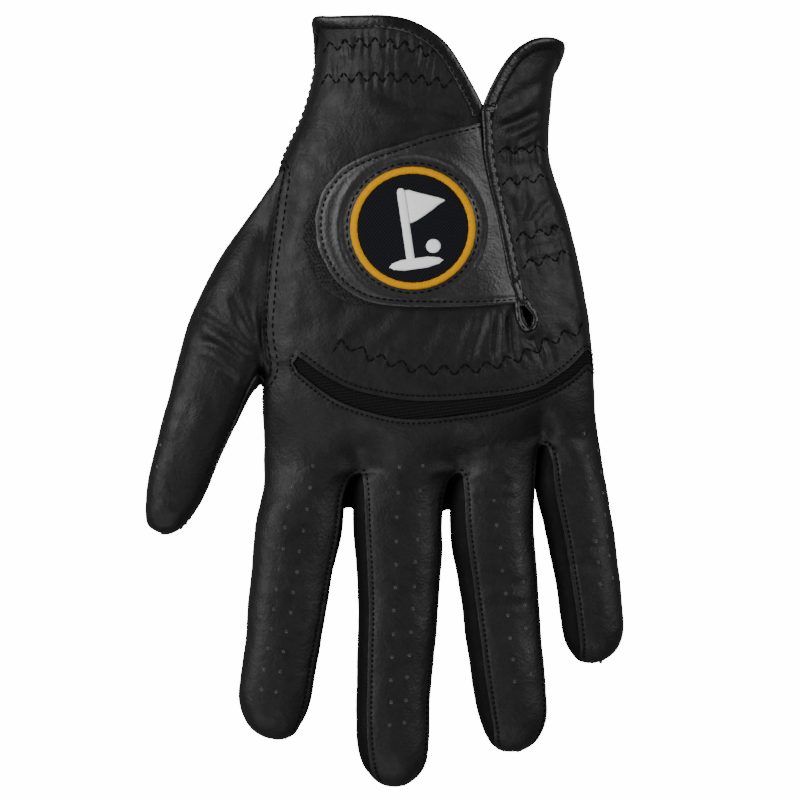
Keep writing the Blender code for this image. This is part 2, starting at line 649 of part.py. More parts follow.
def hang_on_joints():
    """Empties on the joint axes, with the moving pieces as their children."""
    empties = {}
    for joint, (parent, pivot, prefixes) in JOINTS.items():
        empty = bpy.data.objects.new("joint_" + joint, None)
        glove.objects.link(empty)
        place = Vector(pivot) * MM
        empty.location = place
        if parent:
            empty.parent = empties[parent][0]
            empty.location = place - empties[parent][1]
        empties[joint] = (empty, place)
        for piece in glove.objects:
            if piece.type != "EMPTY" and piece.name.startswith(prefixes):
                piece.parent = empty
                piece.location = -place


for old in list(bpy.data.objects):
    bpy.data.objects.remove(old)
glove = bpy.data.collections.new("golf_glove")
bpy.context.scene.collection.children.link(glove)

hand, crotches = build_hand()
build_fingers(crotches)
build_thumb(hand)
tree = BVHTree.FromPolygons([tuple(p) for p in skin.points], skin.faces)
for label in dict.fromkeys(skin.labels):
    panel(label, "knit" if label == "knuckle_insert" else "leather")
build_bindings(hand)
build_closure()
build_elastics()
hang_on_joints()
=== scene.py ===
"""Looks of the golf glove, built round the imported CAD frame.

Lengths here are in millimetres until a mesh is made. The leather skin is one lofted cage,
subdivided and dented in code, and then cut into its panels along the seams.
"""

import json
import math
from math import cos, pi, radians, sin
import bpy
import numpy as np
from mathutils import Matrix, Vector, noise
from mathutils.bvhtree import BVHTree
from mathutils.kdtree import KDTree

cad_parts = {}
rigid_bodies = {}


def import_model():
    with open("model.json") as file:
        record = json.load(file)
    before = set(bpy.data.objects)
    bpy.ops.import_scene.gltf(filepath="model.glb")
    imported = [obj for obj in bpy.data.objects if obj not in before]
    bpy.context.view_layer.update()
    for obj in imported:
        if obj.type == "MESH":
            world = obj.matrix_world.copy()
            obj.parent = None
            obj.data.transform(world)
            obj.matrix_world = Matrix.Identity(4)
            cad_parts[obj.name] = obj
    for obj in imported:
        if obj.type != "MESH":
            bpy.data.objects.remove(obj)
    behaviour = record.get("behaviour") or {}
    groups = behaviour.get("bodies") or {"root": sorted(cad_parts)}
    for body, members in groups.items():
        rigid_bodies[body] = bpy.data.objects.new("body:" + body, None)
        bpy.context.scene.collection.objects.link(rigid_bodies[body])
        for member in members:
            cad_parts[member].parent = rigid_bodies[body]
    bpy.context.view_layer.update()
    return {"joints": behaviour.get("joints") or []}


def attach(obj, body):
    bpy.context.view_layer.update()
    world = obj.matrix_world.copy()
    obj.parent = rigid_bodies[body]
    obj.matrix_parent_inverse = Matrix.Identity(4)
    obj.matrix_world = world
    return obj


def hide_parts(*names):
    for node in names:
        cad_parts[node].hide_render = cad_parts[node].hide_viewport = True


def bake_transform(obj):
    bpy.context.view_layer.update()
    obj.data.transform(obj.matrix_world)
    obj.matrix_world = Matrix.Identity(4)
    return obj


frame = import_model()

MM = 0.001
rng = np.random.default_rng(7)

# ---------------------------------------------------------------- camera, light and floor
VIEW_CENTRE = (-7.6, -21.4)
VIEW_WIDTH = 244.0       # what the picture spans at the height of the fingers' sides
VIEW_LEVEL = 18.0
VIEW_DISTANCE = 1500.0
SENSOR = 36.0
WORLD_LIGHT = 0.20
LIGHTS = {               # place and aim in metres, size, power
    "key": ((-0.88, 0.18, 0.66), (-0.02, 0, 0.02), (0.9, 0.8), 14.0),
    "fill": ((0.84, 0.22, 0.70), (0, -0.02, 0.02), (0.7, 0.8), 9.0),
    "low": ((-0.30, -0.95, 0.66), (0, -0.05, 0.02), (0.9, 0.6), 5.0),
}
FLOOR_HALF = 3.0
FLOOR_DROP = 0.13        # low enough for the fingers to fold over it


def add_camera():
    data = bpy.data.cameras.new("camera")
    data.sensor_width = SENSOR
    data.lens = SENSOR * (VIEW_DISTANCE - VIEW_LEVEL) / VIEW_WIDTH
    camera = bpy.data.objects.new("camera", data)
    camera.location = (VIEW_CENTRE[0] * MM, VIEW_CENTRE[1] * MM, VIEW_DISTANCE * MM)
    data.clip_start = 0.05
    data.clip_end = 20
    bpy.context.scene.collection.objects.link(camera)
    bpy.context.scene.camera = camera


def add_area(name, place, aim, size, power):
    """A rectangular light at a place, turned to an aim."""
    data = bpy.data.lights.new(name, "AREA")
    data.shape = "RECTANGLE"
    data.size, data.size_y = size
    data.energy = power
    light = bpy.data.objects.new(name, data)
    light.location = place
    light.rotation_mode = "QUATERNION"
    light.rotation_quaternion = (Vector(place) - Vector(aim)).to_track_quat("Z", "Y")
    bpy.context.scene.collection.objects.link(light)


def add_studio():
    world = bpy.data.worlds.new("studio")
    bpy.context.scene.world = world
    world.use_nodes = True
    world.node_tree.nodes["Background"].inputs["Color"].default_value = (1, 1, 1, 1)
    world.node_tree.nodes["Background"].inputs["Strength"].default_value = WORLD_LIGHT
    for name, settings in LIGHTS.items():
        add_area(name, *settings)


def add_floor():
    """A plain white floor that glows a little for the camera only, and so lights nothing."""
    mesh = bpy.data.meshes.new("floor")
    corners = [(FLOOR_HALF * x, FLOOR_HALF * y, 0) for x, y in ((-1, -1), (1, -1), (1, 1), (-1, 1))]
    mesh.from_pydata(corners, [], [(0, 1, 2, 3)])
    floor = bpy.data.objects.new("floor", mesh)
    floor.location.z = -FLOOR_DROP
    bpy.context.scene.collection.objects.link(floor)
    paint = bpy.data.materials.new("floor_paint")
    paint.use_nodes = True
    shader = paint.node_tree.nodes["Principled BSDF"]
    for socket, value in (("Base Color", (0.93, 0.93, 0.925, 1)), ("Emission Color", (1, 1, 0.99, 1)),
                          ("Emission Strength", 14.0), ("Roughness", 0.9), ("Specular IOR Level", 0.1)):
        shader.inputs[socket].default_value = value
    mesh.materials.append(paint)
    floor.visible_diffuse = False
    floor.visible_glossy = False


add_camera()
add_studio()
add_floor()

# ---------------------------------------------------------------- shape tables
# Plan lines are (x, y), or (y, x) where they run from the fingers to the cuff
BACK_SEGS = 5            # quads of the cage across the back of one finger
SIDE_SEGS = 3            # quads down a side
COLUMNS = 4 * BACK_SEGS
SLIT_COLUMN = 3 * BACK_SEGS
LEVELS = 3               # times that the cage is subdivided
LEATHER = 0.7            # thickness of a panel

WIDEST = 0.42            # where a section is widest, as a share of its height
BACK_POWER = 2.6         # how square the back's dome is
FINGER_POWER = 0.84      # how round a finger's section is: 1 is an ellipse
BACK_REACH = 0.93        # how far out on the dome the back's corners sit
PALM_REACH = 0.9
PALM_FLAT = 0.45         # how far out the palm stays flat
BACK_INSET = 1.7         # from the hand's outer edge to the back's corner
PALM_INSET = 4.5         # from either edge to the palm's corner
BACK_CROWN = 5.0         # rise of the skin over a finger between two crotches
PALM_CROWN = -2.2
FLOOR_GAP = 0.5          # height of the fingers' lowest points

KNUCKLE_Y = -23.0        # the palm crease where the four fingers bend
BETWEEN_Y = -17.5        # the palm row between that crease and the last row of the hand
INSERT_PALM_Y = -12.0    # the palm row level with the stretch insert
LEFT_CORNER = [(-56, -47.2), (-30, -47.4), (-16, -48.0), (-5, -49.6), (9, -48.5), (22, -47.4),
               (39, -45.0), (51, -42.2), (64, -36.0), (78, -32.6), (87, -31.6), (95, -34.6)]
LEFT_EDGE = [(-56, -48.9), (-16, -49.5), (30, -47.5), (51, -43.9), (64, -37.4), (78, -33.8),
             (87, -32.8), (95, -36.2)]
RIGHT_EDGE = [(-46, 55.5), (-36, 53.7), (-27, 52.0), (-9, 51.0), (9, 48.5), (18, 47.0), (37, 42.2),
              (46, 39.4), (55, 37.6), (64, 37.8), (73, 38.2), (82, 40.4), (88, 44.6)]
SLIT = [(-35, 35.7), (2.4, 31.4), (15, 26.6), (29, 22.9), (43, 19.8), (52, 18.4), (68, 17.2)]
CUFF_THUMB_SIDE = [(-34, 94.6), (-14, 94.7), (-6, 93.7), (0, 91.0), (6, 86.4), (11, 78.7), (17.2, 67.1)]
CUFF_OUTER_SIDE = [(17.2, 67.1), (20.4, 73.2), (23.5, 79.4), (27.8, 84.5), (32, 87.3), (37, 88.5),
                   (43, 87.0)]
CUFF_PALM_Y = 62.0
CUFF_RISE = 14.0         # how much the cuff climbs from the palm's middle to its sides
INSERT_UPPER = [(-50, -6.0), (-41, -8.0), (-20, -18.9), (-1, -21.8), (20, -20.4), (31.7, -18.2),
                (42.5, -12.2), (51, -4.6)]
INSERT_LOWER = [(-50, -14.0), (-41, -12.5), (-36, -15.6), (-21, -23.8), (-4, -27.2), (12, -25.8),
                (28, -22.6), (36, -19.6), (44, -15.0), (52, -7.6)]
INSERT_END = [(-38.4, -8.0), (-40.8, -10.0), (-38.8, -12.6)]     # its rounded end, on the thumb side
HAND_HEIGHT = [(-43, 22.0), (-31, 26.0), (-15, 29.5), (0, 31.0), (30, 33.0), (60, 36.0), (95, 38.0)]
ROW_STEPS = [1.0, 0.955, 0.90, 0.84, 0.77, 0.70, 0.63, 0.56, 0.49, 0.43, 0.375, 0.32, 0.265, 0.215,
             0.14, 0.07, 0.0]              # rows from the cuff to the stretch insert
CROTCH_STEPS = (0.28, 0.54, 0.78)          # rows from the insert to the crotches
THUMB_HOLE_TOP = 7       # the row where the thumb piece starts
SLIT_END = 13            # the row where the slit ends
CUFF_TRIM = 0.9          # the rolled binding stands this far past the leather's edge
SLIT_OPEN = {12: 1.25, 11: 0.5}   # half the gap at the rows above the slit's end
SLIT_GAP = 0.3           # and at the others
CROTCH_BACK = [(-47.6, -43.5, 14.5), (-19.8, -43.3, 16.5), (10.4, -43.6, 16.5), (35.7, -34.8, 16.0),
               (53.6, -36.0, 13.5)]
CROTCH_PALM = [(-45.6, -54.0, 2.8), (-23.4, -54.6, 2.6), (6.8, -55.2, 2.6), (31.2, -43.0, 2.6),
               (52.4, -44.0, 2.8)]

# Fingers: rings of (y, centre x, width, height), and the four seams round them in degrees from +X
FINGERS = {
    "index": dict(
        table=[(-60, -38.3, 26.9, 20.0), (-82.4, -41.8, 24.6, 18.8), (-100.7, -44.4, 23.1, 17.8),
               (-110, -45.7, 22.9, 17.0), (-114.5, -46.0, 21.8, 15.8), (-119, -46.2, 18.8, 13.8),
               (-123.0, -45.9, 13.2, 10.0), (-124.9, -45.6, 7.4, 6.4)],
        tip=(-45.5, -125.8), seams=(26, 160, 212, 326)),
    "middle": dict(
        table=[(-60, -8.5, 27.4, 20.4), (-82.4, -8.2, 25.2, 19.2), (-100.7, -9.2, 23.3, 18.2),
               (-119, -9.7, 22.6, 17.2), (-128.2, -9.7, 21.2, 15.6), (-132.8, -9.6, 19.2, 13.8),
               (-137.0, -9.4, 13.4, 9.8), (-139.0, -9.3, 7.8, 6.2)],
        tip=(-9.3, -139.9), seams=(14, 130, 214, 324)),
    "ring": dict(
        table=[(-60, 20.4, 25.5, 19.8), (-82.4, 22.9, 24.0, 18.6), (-100.7, 24.9, 22.6, 17.6),
               (-110, 26.0, 22.3, 16.8), (-118.5, 26.8, 20.8, 15.4), (-123.6, 26.9, 17.2, 13.0),
               (-127.2, 26.7, 12.0, 9.4), (-128.8, 26.6, 6.8, 6.0)],
        tip=(26.6, -129.5), seams=(14, 123, 212, 324)),
    "little": dict(
        table=[(-49.5, 45.0, 22.0, 17.8), (-59.5, 47.2, 21.2, 17.2), (-73.2, 49.4, 20.2, 16.4),
               (-82.4, 50.7, 19.6, 15.8), (-91.6, 51.6, 18.9, 14.8), (-96.1, 51.7, 16.6, 13.0),
               (-99.6, 51.7, 12.0, 9.6), (-101.6, 51.6, 6.6, 6.0)],
        tip=(51.6, -102.5), seams=(20, 114, 212, 326)),
}
FINGER_RINGS = 13

# Thumb: outer side, inner side, height, lowest point
THUMB = [((-43.9, 50.0), (-49.2, -15.5), 25.0, 0.8), ((-58.9, 28.0), (-50.0, -17.0), 25.0, 0.8),
         ((-68.0, 11.5), (-51.2, -18.2), 24.5, 0.8), ((-73.3, -1.0), (-53.0, -20.4), 22.5, 0.8),
         ((-77.7, -16.5), (-57.4, -28.5), 20.5, 0.8), ((-81.8, -32.0), (-62.2, -37.8), 18.8, 0.8),
         ((-84.6, -43.5), (-65.6, -45.6), 17.4, 0.8), ((-85.6, -51.0), (-68.6, -52.0), 15.6, 1.4),
         ((-85.6, -56.4), (-71.8, -57.0), 13.0, 2.6), ((-84.2, -60.2), (-75.2, -60.6), 8.6, 4.8)]
THUMB_TIP = (-79.7, -62.5, 9.2)
THUMB_RINGS = 15
THUMB_SPLIT = 8          # the ring from which the leather belongs to the thumb's tip
THUMB_SEGS = len(ROW_STEPS) + 1 - THUMB_HOLE_TOP
THUMB_SEAMS = (14, 160, 205, 335)
THUMB_SEAM_TURN = 60     # how much further over the back the inner seam starts
# A place on each thumb joint and the thumb's direction there: the seam is on one side of it
THUMB_BASE = ((-63.15, -10.4), (-0.6795, -0.7337))
THUMB_END = ((-72.0, -34.9), (-0.2948, -0.9556))


def fit(table):
    """A smooth curve through (parameter, value) rows that doesn't overshoot them."""
    x, y = (np.array(column, float) for column in zip(*table))
    step = np.diff(x)
    slope = np.diff(y) / step
    tangent = np.zeros_like(y)
    tangent[0], tangent[-1] = slope[0], slope[-1]
    for i in range(1, len(x) - 1):
        if slope[i] * slope[i - 1] > 0:
            w1, w2 = 2 * step[i] + step[i - 1], step[i] + 2 * step[i - 1]
            tangent[i] = (w1 + w2) / (w1 / slope[i - 1] + w2 / slope[i])

    def at(v):
        v = min(max(v, x[0]), x[-1])
        i = min(max(int(np.searchsorted(x, v)) - 1, 0), len(x) - 2)
        t = (v - x[i]) / step[i]
        return float(y[i] * (1 + 2 * t) * (1 - t) ** 2 + y[i + 1] * t * t * (3 - 2 * t)
                     + step[i] * (tangent[i] * t * (1 - t) ** 2 - tangent[i + 1] * t * t * (1 - t)))
    return at


left_corner, left_edge, right_edge, slit_x = fit(LEFT_CORNER), fit(LEFT_EDGE), fit(RIGHT_EDGE), fit(SLIT)
insert_upper, insert_lower, hand_height = fit(INSERT_UPPER), fit(INSERT_LOWER), fit(HAND_HEIGHT)
cuff_thumb_side, cuff_outer_side = fit(CUFF_THUMB_SIDE), fit(CUFF_OUTER_SIDE)


def lerp(a, b, t):
    """The point a share t of the way from a to b."""
    return a + (b - a) * t


def ease(t):
    """A smooth step from 0 to 1."""
    return t * t * (3 - 2 * t)


def dome(across, height):
    """Height of the back at a share of its half width."""
    middle = WIDEST * height
    return middle + (height - middle) * (1 - abs(across) ** BACK_POWER) ** (1 / BACK_POWER)


def belly(across, height):
    """Height of the palm at a share of its half width."""
    rise = max(0.0, (abs(across) - PALM_FLAT) / (1 - PALM_FLAT))
    return WIDEST * height * (1 - (1 - rise ** 3) ** 0.5)


class Cage:
    """The coarse mesh that the skin is subdivided from; every face has the name of its panel."""

    def __init__(self):
        self.points = []
        self.faces = []
        self.labels = []

    def vertex(self, x, y, z):
        self.points.append((float(x), float(y), float(z)))
        return len(self.points) - 1

    def face(self, label, *corners):
        self.faces.append(tuple(dict.fromkeys(corners)))
        self.labels.append(label)

    def band(self, ring_a, ring_b, labels):
        """Quads between two rings, left out where the label is None."""
        count = len(ring_a)
        for i in range(count):
            k = (i + 1) % count
            if labels[i]:
                self.face(labels[i], ring_a[i], ring_b[i], ring_b[k], ring_a[k])


cage = Cage()


def column_x(left, slit, right):
    """Even columns on each side of the slit."""
    inner = [lerp(left, slit, i / SLIT_COLUMN) for i in range(SLIT_COLUMN)]
    outer = [lerp(slit, right, i / BACK_SEGS) for i in range(BACK_SEGS + 1)]
    return inner + outer


def side_points(top, bottom, edge):
    """Points down the side of the hand, between a back corner and a palm corner."""
    points = []
    for i in range(1, SIDE_SEGS):
        t = i / SIDE_SEGS
        y = lerp(top[1], bottom[1], 0.7 * t)
        points.append((edge(y), y, lerp(top[2], bottom[2], t)))
    return points


def hand_loop(back, palm):
    """The numbers of a ring of cage points, from a row of the back and one of the palm."""
    right = side_points(back[-1], palm[-1], right_edge)
    left = side_points(back[0], palm[0], left_edge)
    return [cage.vertex(*p) for p in back + right + palm[::-1] + left[::-1]]


def back_points(xs, ys):
    """A row of the back, on the dome over the hand."""
    points = []
    for x, y in zip(xs, ys):
        across = BACK_REACH * (2 * (x - xs[0]) / (xs[-1] - xs[0]) - 1)
        points.append((x, y, dome(across, hand_height(y))))
    return points


def palm_points(y_middle, y_left, y_right):
    """A row of the palm, which may be further up or down at its two sides."""
    left = left_edge(y_left) + PALM_INSET
    right = right_edge(y_right) - PALM_INSET
    points = []
    for i in range(COLUMNS + 1):
        t = i / COLUMNS
        across = PALM_REACH * (2 * t - 1)
        lift = max(0.0, (abs(across) - 0.6) / 0.3) ** 2
        y = lerp(y_middle, y_left if t < 0.5 else y_right, lift)
        points.append((lerp(left, right, t), y, belly(across, hand_height(y))))
    return points


def across_fingers(corners, crown):
    """The row through the crotches, which rises over each finger."""
    points = []
    for a, b in zip(corners, corners[1:]):
        for i in range(BACK_SEGS):
            t = i / BACK_SEGS
            x, y, z = (lerp(p, q, t) for p, q in zip(a, b))
            points.append((x, y, z + crown * sin(pi * t) ** 0.7))
    return points + [corners[-1]]


def hand_rows():
    """The back and palm points of every row from the cuff to the crotches."""
    upper_x = column_x(-48.6, 32.8, 49.2)
    cuff_x = column_x(-33.0, slit_x(67), 41.6)
    backs, palms = [], []
    for t in ROW_STEPS:
        ys = []
        for i in range(COLUMNS + 1):
            cuff = cuff_thumb_side if i <= SLIT_COLUMN else cuff_outer_side
            ys.append(lerp(insert_upper(upper_x[i]), cuff(cuff_x[i]) - CUFF_TRIM, t))
        xs = column_x(left_corner(ys[0]), slit_x(ys[SLIT_COLUMN]), right_edge(ys[-1]) - BACK_INSET)
        backs.append(back_points(xs, ys))
        middle = lerp(INSERT_PALM_Y, CUFF_PALM_Y, t)
        palms.append(palm_points(middle, middle + CUFF_RISE * t ** 3, middle + CUFF_RISE * t ** 3))
    xs = column_x(left_corner(-16), slit_x(-22), right_edge(-12) - BACK_INSET)
    lower = back_points(xs, [insert_lower(x) for x in xs])
    between = [tuple(lerp(p, q, 0.5) for p, q in zip(a, b)) for a, b in zip(backs[-1], lower)]
    for row, (x, y) in zip((backs[-1], between, lower), INSERT_END):
        share = (x - row[1][0]) / (row[2][0] - row[1][0])
        row[2] = (x, y, lerp(row[1][2], row[2][2], share))
    backs += [between, lower]
    palms += [palm_points(y, y, y) for y in (BETWEEN_Y, KNUCKLE_Y)]
    crotch_back = across_fingers(CROTCH_BACK, BACK_CROWN)
    crotch_palm = across_fingers(CROTCH_PALM, PALM_CROWN)
    last_palm = palms[-1]
    for t in CROTCH_STEPS:
        row = []
        for a, b in zip(lower, crotch_back):
            row.append((lerp(a[0], b[0], t), lerp(a[1], b[1], t), lerp(a[2], b[2], ease(t))))
        backs.append(row)
        palms.append([tuple(lerp(p, q, t) for p, q in zip(a, b)) for a, b in zip(last_palm, crotch_palm)])
    backs.append(crotch_back)
    palms.append(crotch_palm)
    return [hand_loop(back, palm) for back, palm in zip(backs, palms)]


WRAP = SIDE_SEGS // 2 + 1     # how many quads of a side belong to the back


def row_labels(r):
    """The panel of each quad between two rows of the hand."""
    names = ["hand_back"] * (COLUMNS + WRAP) + ["hand_palm"] * (COLUMNS + 2 * (SIDE_SEGS - WRAP))
    names += ["hand_back"] * WRAP
    if r in (len(ROW_STEPS) - 1, len(ROW_STEPS)):
        names[2:COLUMNS + 1] = ["knuckle_insert"] * (COLUMNS - 1)
    if THUMB_HOLE_TOP <= r < len(ROW_STEPS) + 1:
        names[-SIDE_SEGS:] = [None] * SIDE_SEGS
    return names


slit_copies = {}


def slit_band(ring_a, ring_b, names, r):
    """A band that the slit cuts: its outer side has points of its own, a gap away."""
    cage.band(ring_a, ring_b, [n if i < SLIT_COLUMN else None for i, n in enumerate(names)])
    right = []
    for ring, split in ((ring_a, True), (ring_b, r + 1 < SLIT_END)):
        ring = list(ring)
        key = ring[SLIT_COLUMN]
        if split:
            if key not in slit_copies:
                x, y, z = cage.points[key]
                gap = SLIT_OPEN.get(len(slit_copies), SLIT_GAP)
                slit_copies[key] = cage.vertex(x + gap, y, z + 0.15)
                cage.points[key] = (x - gap, y, z - 0.25)
            ring[SLIT_COLUMN] = slit_copies[key]
        right.append(ring)
    cage.band(right[0], right[1], [n if i >= SLIT_COLUMN else None for i, n in enumerate(names)])


def build_hand():
    """The cage of the hand, between the cuff and the crotches."""
    rows = hand_rows()
    for r in range(len(rows) - 1):
        if r < SLIT_END:
            slit_band(rows[r], rows[r + 1], row_labels(r), r)
        else:
            cage.band(rows[r], rows[r + 1], row_labels(r))
    return rows


def power(value, exponent):
    """The power of the value's size, with its sign kept."""
    return math.copysign(abs(value) ** exponent, value)


def section(centre, across, half_width, bottom, height, seams, counts, slant=0.0):
    """A rounded section as a list of points, starting at the back's left seam."""
    right_back, left_back, left_palm, right_palm = seams
    spans = [(left_back, right_back, counts[0]), (right_back, right_palm - 360, counts[1]),
             (right_palm - 360, left_palm - 360, counts[2]), (left_palm, left_back, counts[1])]
    along = (across[1], -across[0])
    points = []
    for start, end, count in spans:
        for i in range(count):
            angle = radians(lerp(start, end, i / count))
            wide = half_width * power(cos(angle), FINGER_POWER)
            tall = power(sin(angle), FINGER_POWER)
            back = slant * tall
            points.append((centre[0] + across[0] * wide - along[0] * back,
                           centre[1] + across[1] * wide - along[1] * back, bottom + height / 2 * (1 + tall)))
    return points


def finger_labels(name, left, right):
    """Panels round a finger: its outer sides belong to the back and palm, the inner ones to walls."""
    back, palm = name + "_back", name + "_palm"
    open_side = [back] * WRAP + [palm] * (SIDE_SEGS - WRAP)
    right_side = [f"{name}_side_to_{right}"] * SIDE_SEGS if right else open_side
    left_side = [f"{name}_side_to_{left}"] * SIDE_SEGS if left else open_side[::-1]
    return [back] * BACK_SEGS + right_side + [palm] * BACK_SEGS + left_side


def closing_seams(seams, t):
    """Near the tip the side walls narrow, so that back and palm meet."""
    t = ease(min(max((t - 0.8) / 0.2, 0), 1))
    right_back, left_back, left_palm, right_palm = seams
    right, left = (right_back + right_palm - 360) / 2, (left_back + left_palm) / 2
    keep = 1 - 0.72 * t
    return (right + (right_back - right) * keep, left + (left_back - left) * keep,
            left + (left_palm - left) * keep, right + (right_palm - 360 - right) * keep + 360)


def build_fingers(crotch_row):
    """Fingers that grow out of the crotch row, with walls between neighbours."""
    names = list(FINGERS)
    palm_start = COLUMNS + SIDE_SEGS
    backs = crotch_row[:COLUMNS + 1]
    palms = crotch_row[palm_start:palm_start + COLUMNS + 1][::-1]
    walls = [crotch_row[:palm_start + COLUMNS:-1]]
    for i in range(1, 4):
        top, bottom = Vector(CROTCH_BACK[i]), Vector(CROTCH_PALM[i])
        wall = []
        for k in range(1, SIDE_SEGS):
            t = k / SIDE_SEGS
            place = top.lerp(bottom, t)
            wall.append(cage.vertex(place.x, place.y + 1.6 * sin(pi * t), place.z))
        walls.append(wall)
    walls.append(crotch_row[COLUMNS + 1:palm_start])
    for f, name in enumerate(names):
        spec = FINGERS[name]
        low, high = f * BACK_SEGS, (f + 1) * BACK_SEGS
        ring = backs[low:high + 1] + walls[f + 1] + palms[low:high + 1][::-1] + walls[f][::-1]
        labels = finger_labels(name, names[f - 1] if f else None, names[f + 1] if f < 3 else None)
        columns = [fit([(row[0], row[c]) for row in spec["table"][::-1]]) for c in (1, 2, 3)]
        first, last = spec["table"][0][0], spec["table"][-1][0]
        base_points = [cage.points[i] for i in ring]
        rings = []
        for k in range(FINGER_RINGS):
            t = k / (FINGER_RINGS - 1)
            y = lerp(first, last, 1 - (1 - t) ** 1.35 * (1 - 0.12 * t))
            x, width, height = (c(y) for c in columns)
            bottom = FLOOR_GAP + max(0.0, 17.0 - height) * 0.38
            slant = 2.4 if k == 0 else 0.0
            seams_here = closing_seams(spec["seams"], t)
            rings.append(section((x, y), (1, 0), width / 2, bottom, height, seams_here,
                                 (BACK_SEGS, SIDE_SEGS, BACK_SEGS), slant))
        middle = (base_points[0][0] + base_points[BACK_SEGS][0]) / 2
        for t, tx, ty in ((0.36, 0.55, 0.13), (0.7, 0.88, 0.5)):
            points = []
            for a, b in zip(base_points, rings[0]):
                outer = (f == 0 and a[0] < middle) or (f == len(names) - 1 and a[0] > middle)
                arch = 0.0 if outer else min(1.0, abs(a[0] - middle) / 9.0)
                across, onward = lerp(t, tx, arch), lerp(t, ty, arch)
                shares = (across, onward, across)
                points.append(tuple(lerp(p, q, share) for p, q, share in zip(a, b, shares)))
            new = [cage.vertex(*p) for p in points]
            cage.band(ring, new, labels)
            ring = new
        for points in rings:
            new = [cage.vertex(*p) for p in points]
            cage.band(ring, new, labels)
            ring = new
        pole = cage.vertex(*spec["tip"], FLOOR_GAP + spec["table"][0][3] * 0.41)
        cage.band(ring, [pole] * len(ring), labels)


def thumb_section(k, columns):
    """The thumb's section at a place between the rings of its table."""
    values = [column(k) for column in columns]
    outer, inner, (height, bottom) = np.array(values[:2]), np.array(values[2:4]), values[4:]
    across = (inner - outer) / np.linalg.norm(inner - outer)
    centre = (outer + inner) / 2
    half = float(np.linalg.norm(inner - outer)) / 2
    seams = (THUMB_SEAMS[0] + THUMB_SEAM_TURN * max(0.0, 1 - k / 8.5), *THUMB_SEAMS[1:])
    return section(tuple(centre), tuple(across), half, bottom, height, seams,
                   (THUMB_SEGS, SIDE_SEGS, THUMB_SEGS))


def thumb_label(k, upper):
    """The panel that a face of the thumb belongs to."""
    part = "base" if k < THUMB_SPLIT else "tip"
    return f"thumb_{part}_back" if upper else f"thumb_{part}_palm"


def build_thumb(rows):
    """The thumb, which grows out of the hole that the hand's rows leave on its side."""
    hole = rows[THUMB_HOLE_TOP:len(ROW_STEPS) + 2]
    sides = [list(row[-(SIDE_SEGS - 1):]) for row in hole]
    ring = [row[0] for row in hole] + sides[-1][::-1] + [row[-SIDE_SEGS] for row in hole[::-1]] + sides[0]
    upper = [True] * (THUMB_SEGS + 1) + [False] * (THUMB_SEGS + 2 * SIDE_SEGS - 1 - WRAP) + [True] * WRAP
    table = [(*outer, *inner, height, bottom) for outer, inner, height, bottom in THUMB]
    columns = [fit(list(enumerate(column))) for column in zip(*table)]
    last = len(THUMB) - 1
    base_points = [cage.points[i] for i in ring]
    for k in range(1, THUMB_RINGS + 1):
        s = last * (k / THUMB_RINGS) ** 0.96
        points = thumb_section(s, columns)
        if s < 1:
            points = [tuple(lerp(a, b, ease(s)) for a, b in zip(p, q)) for p, q in zip(base_points, points)]
        new = [cage.vertex(*p) for p in points]
        cage.band(ring, new, [thumb_label(k, up) for up in upper])
        ring = new
    pole = cage.vertex(*THUMB_TIP)
    cage.band(ring, [pole] * len(ring), [thumb_label(THUMB_RINGS, up) for up in upper])


hand = build_hand()
build_fingers(hand[-1])
build_thumb(hand)
LABELS = list(dict.fromkeys(cage.labels))


def subdivide(points, levels):
    """The cage as a Catmull-Clark surface: points, quads and each quad's label index."""
    mesh = bpy.data.meshes.new("cage")
    mesh.from_pydata([tuple(p) for p in points], [], cage.faces)
    tag = mesh.attributes.new("panel", "INT", "FACE")
    tag.data.foreach_set("value", [LABELS.index(n) for n in cage.labels])
    made = bpy.data.objects.new("cage", mesh)
    bpy.context.scene.collection.objects.link(made)
    smooth = made.modifiers.new("smooth", "SUBSURF")
    smooth.levels = smooth.render_levels = levels
    smooth.use_limit_surface = False
    smooth.quality = 3
    result = made.evaluated_get(bpy.context.evaluated_depsgraph_get()).to_mesh()
    out = np.zeros(len(result.vertices) * 3)
    result.vertices.foreach_get("co", out)
    quads = np.zeros(len(result.polygons) * 4, int)
    result.polygons.foreach_get("vertices", quads)
    tags = np.zeros(len(result.polygons), int)
    result.attributes["panel"].data.foreach_get("value", tags)
    made.to_mesh_clear()
    bpy.data.objects.remove(made)
    bpy.data.meshes.remove(mesh)
    return out.reshape(-1, 3), quads.reshape(-1, 4), tags


# The cage's points are moved out until the smooth surface passes through where they were
target = np.array(cage.points)
control = target.copy()
for _ in range(2):
    limit = subdivide(control, 2)[0][:len(target)]
    control += 0.9 * (target - limit)
skin, quads, tags = subdivide(control, LEVELS)
THUMB_WEB = (-50.0, -7.5, 22.0)
WEB_REACH = 5.0


def relax(points, centre, radius, rounds):
    """Evens out the points round a place, which opens a fold too tight for the leather."""
    ends = np.concatenate([quads[:, [i, (i + step) % 4]] for step in (1, 3) for i in range(4)])
    share = 0.6 * np.exp(-((points - centre) ** 2).sum(1) / radius ** 2)[:, None]
    count = np.maximum(np.bincount(ends[:, 0], minlength=len(points)), 1)[:, None]
    for _ in range(rounds):
        total = np.stack([np.bincount(ends[:, 0], points[ends[:, 1], k], len(points))
                          for k in range(3)], axis=1)
        points = points + share * (total / count - points)
    return points


skin = relax(skin, THUMB_WEB, WEB_REACH, 60)
print("skin", len(skin), "quads", len(quads))

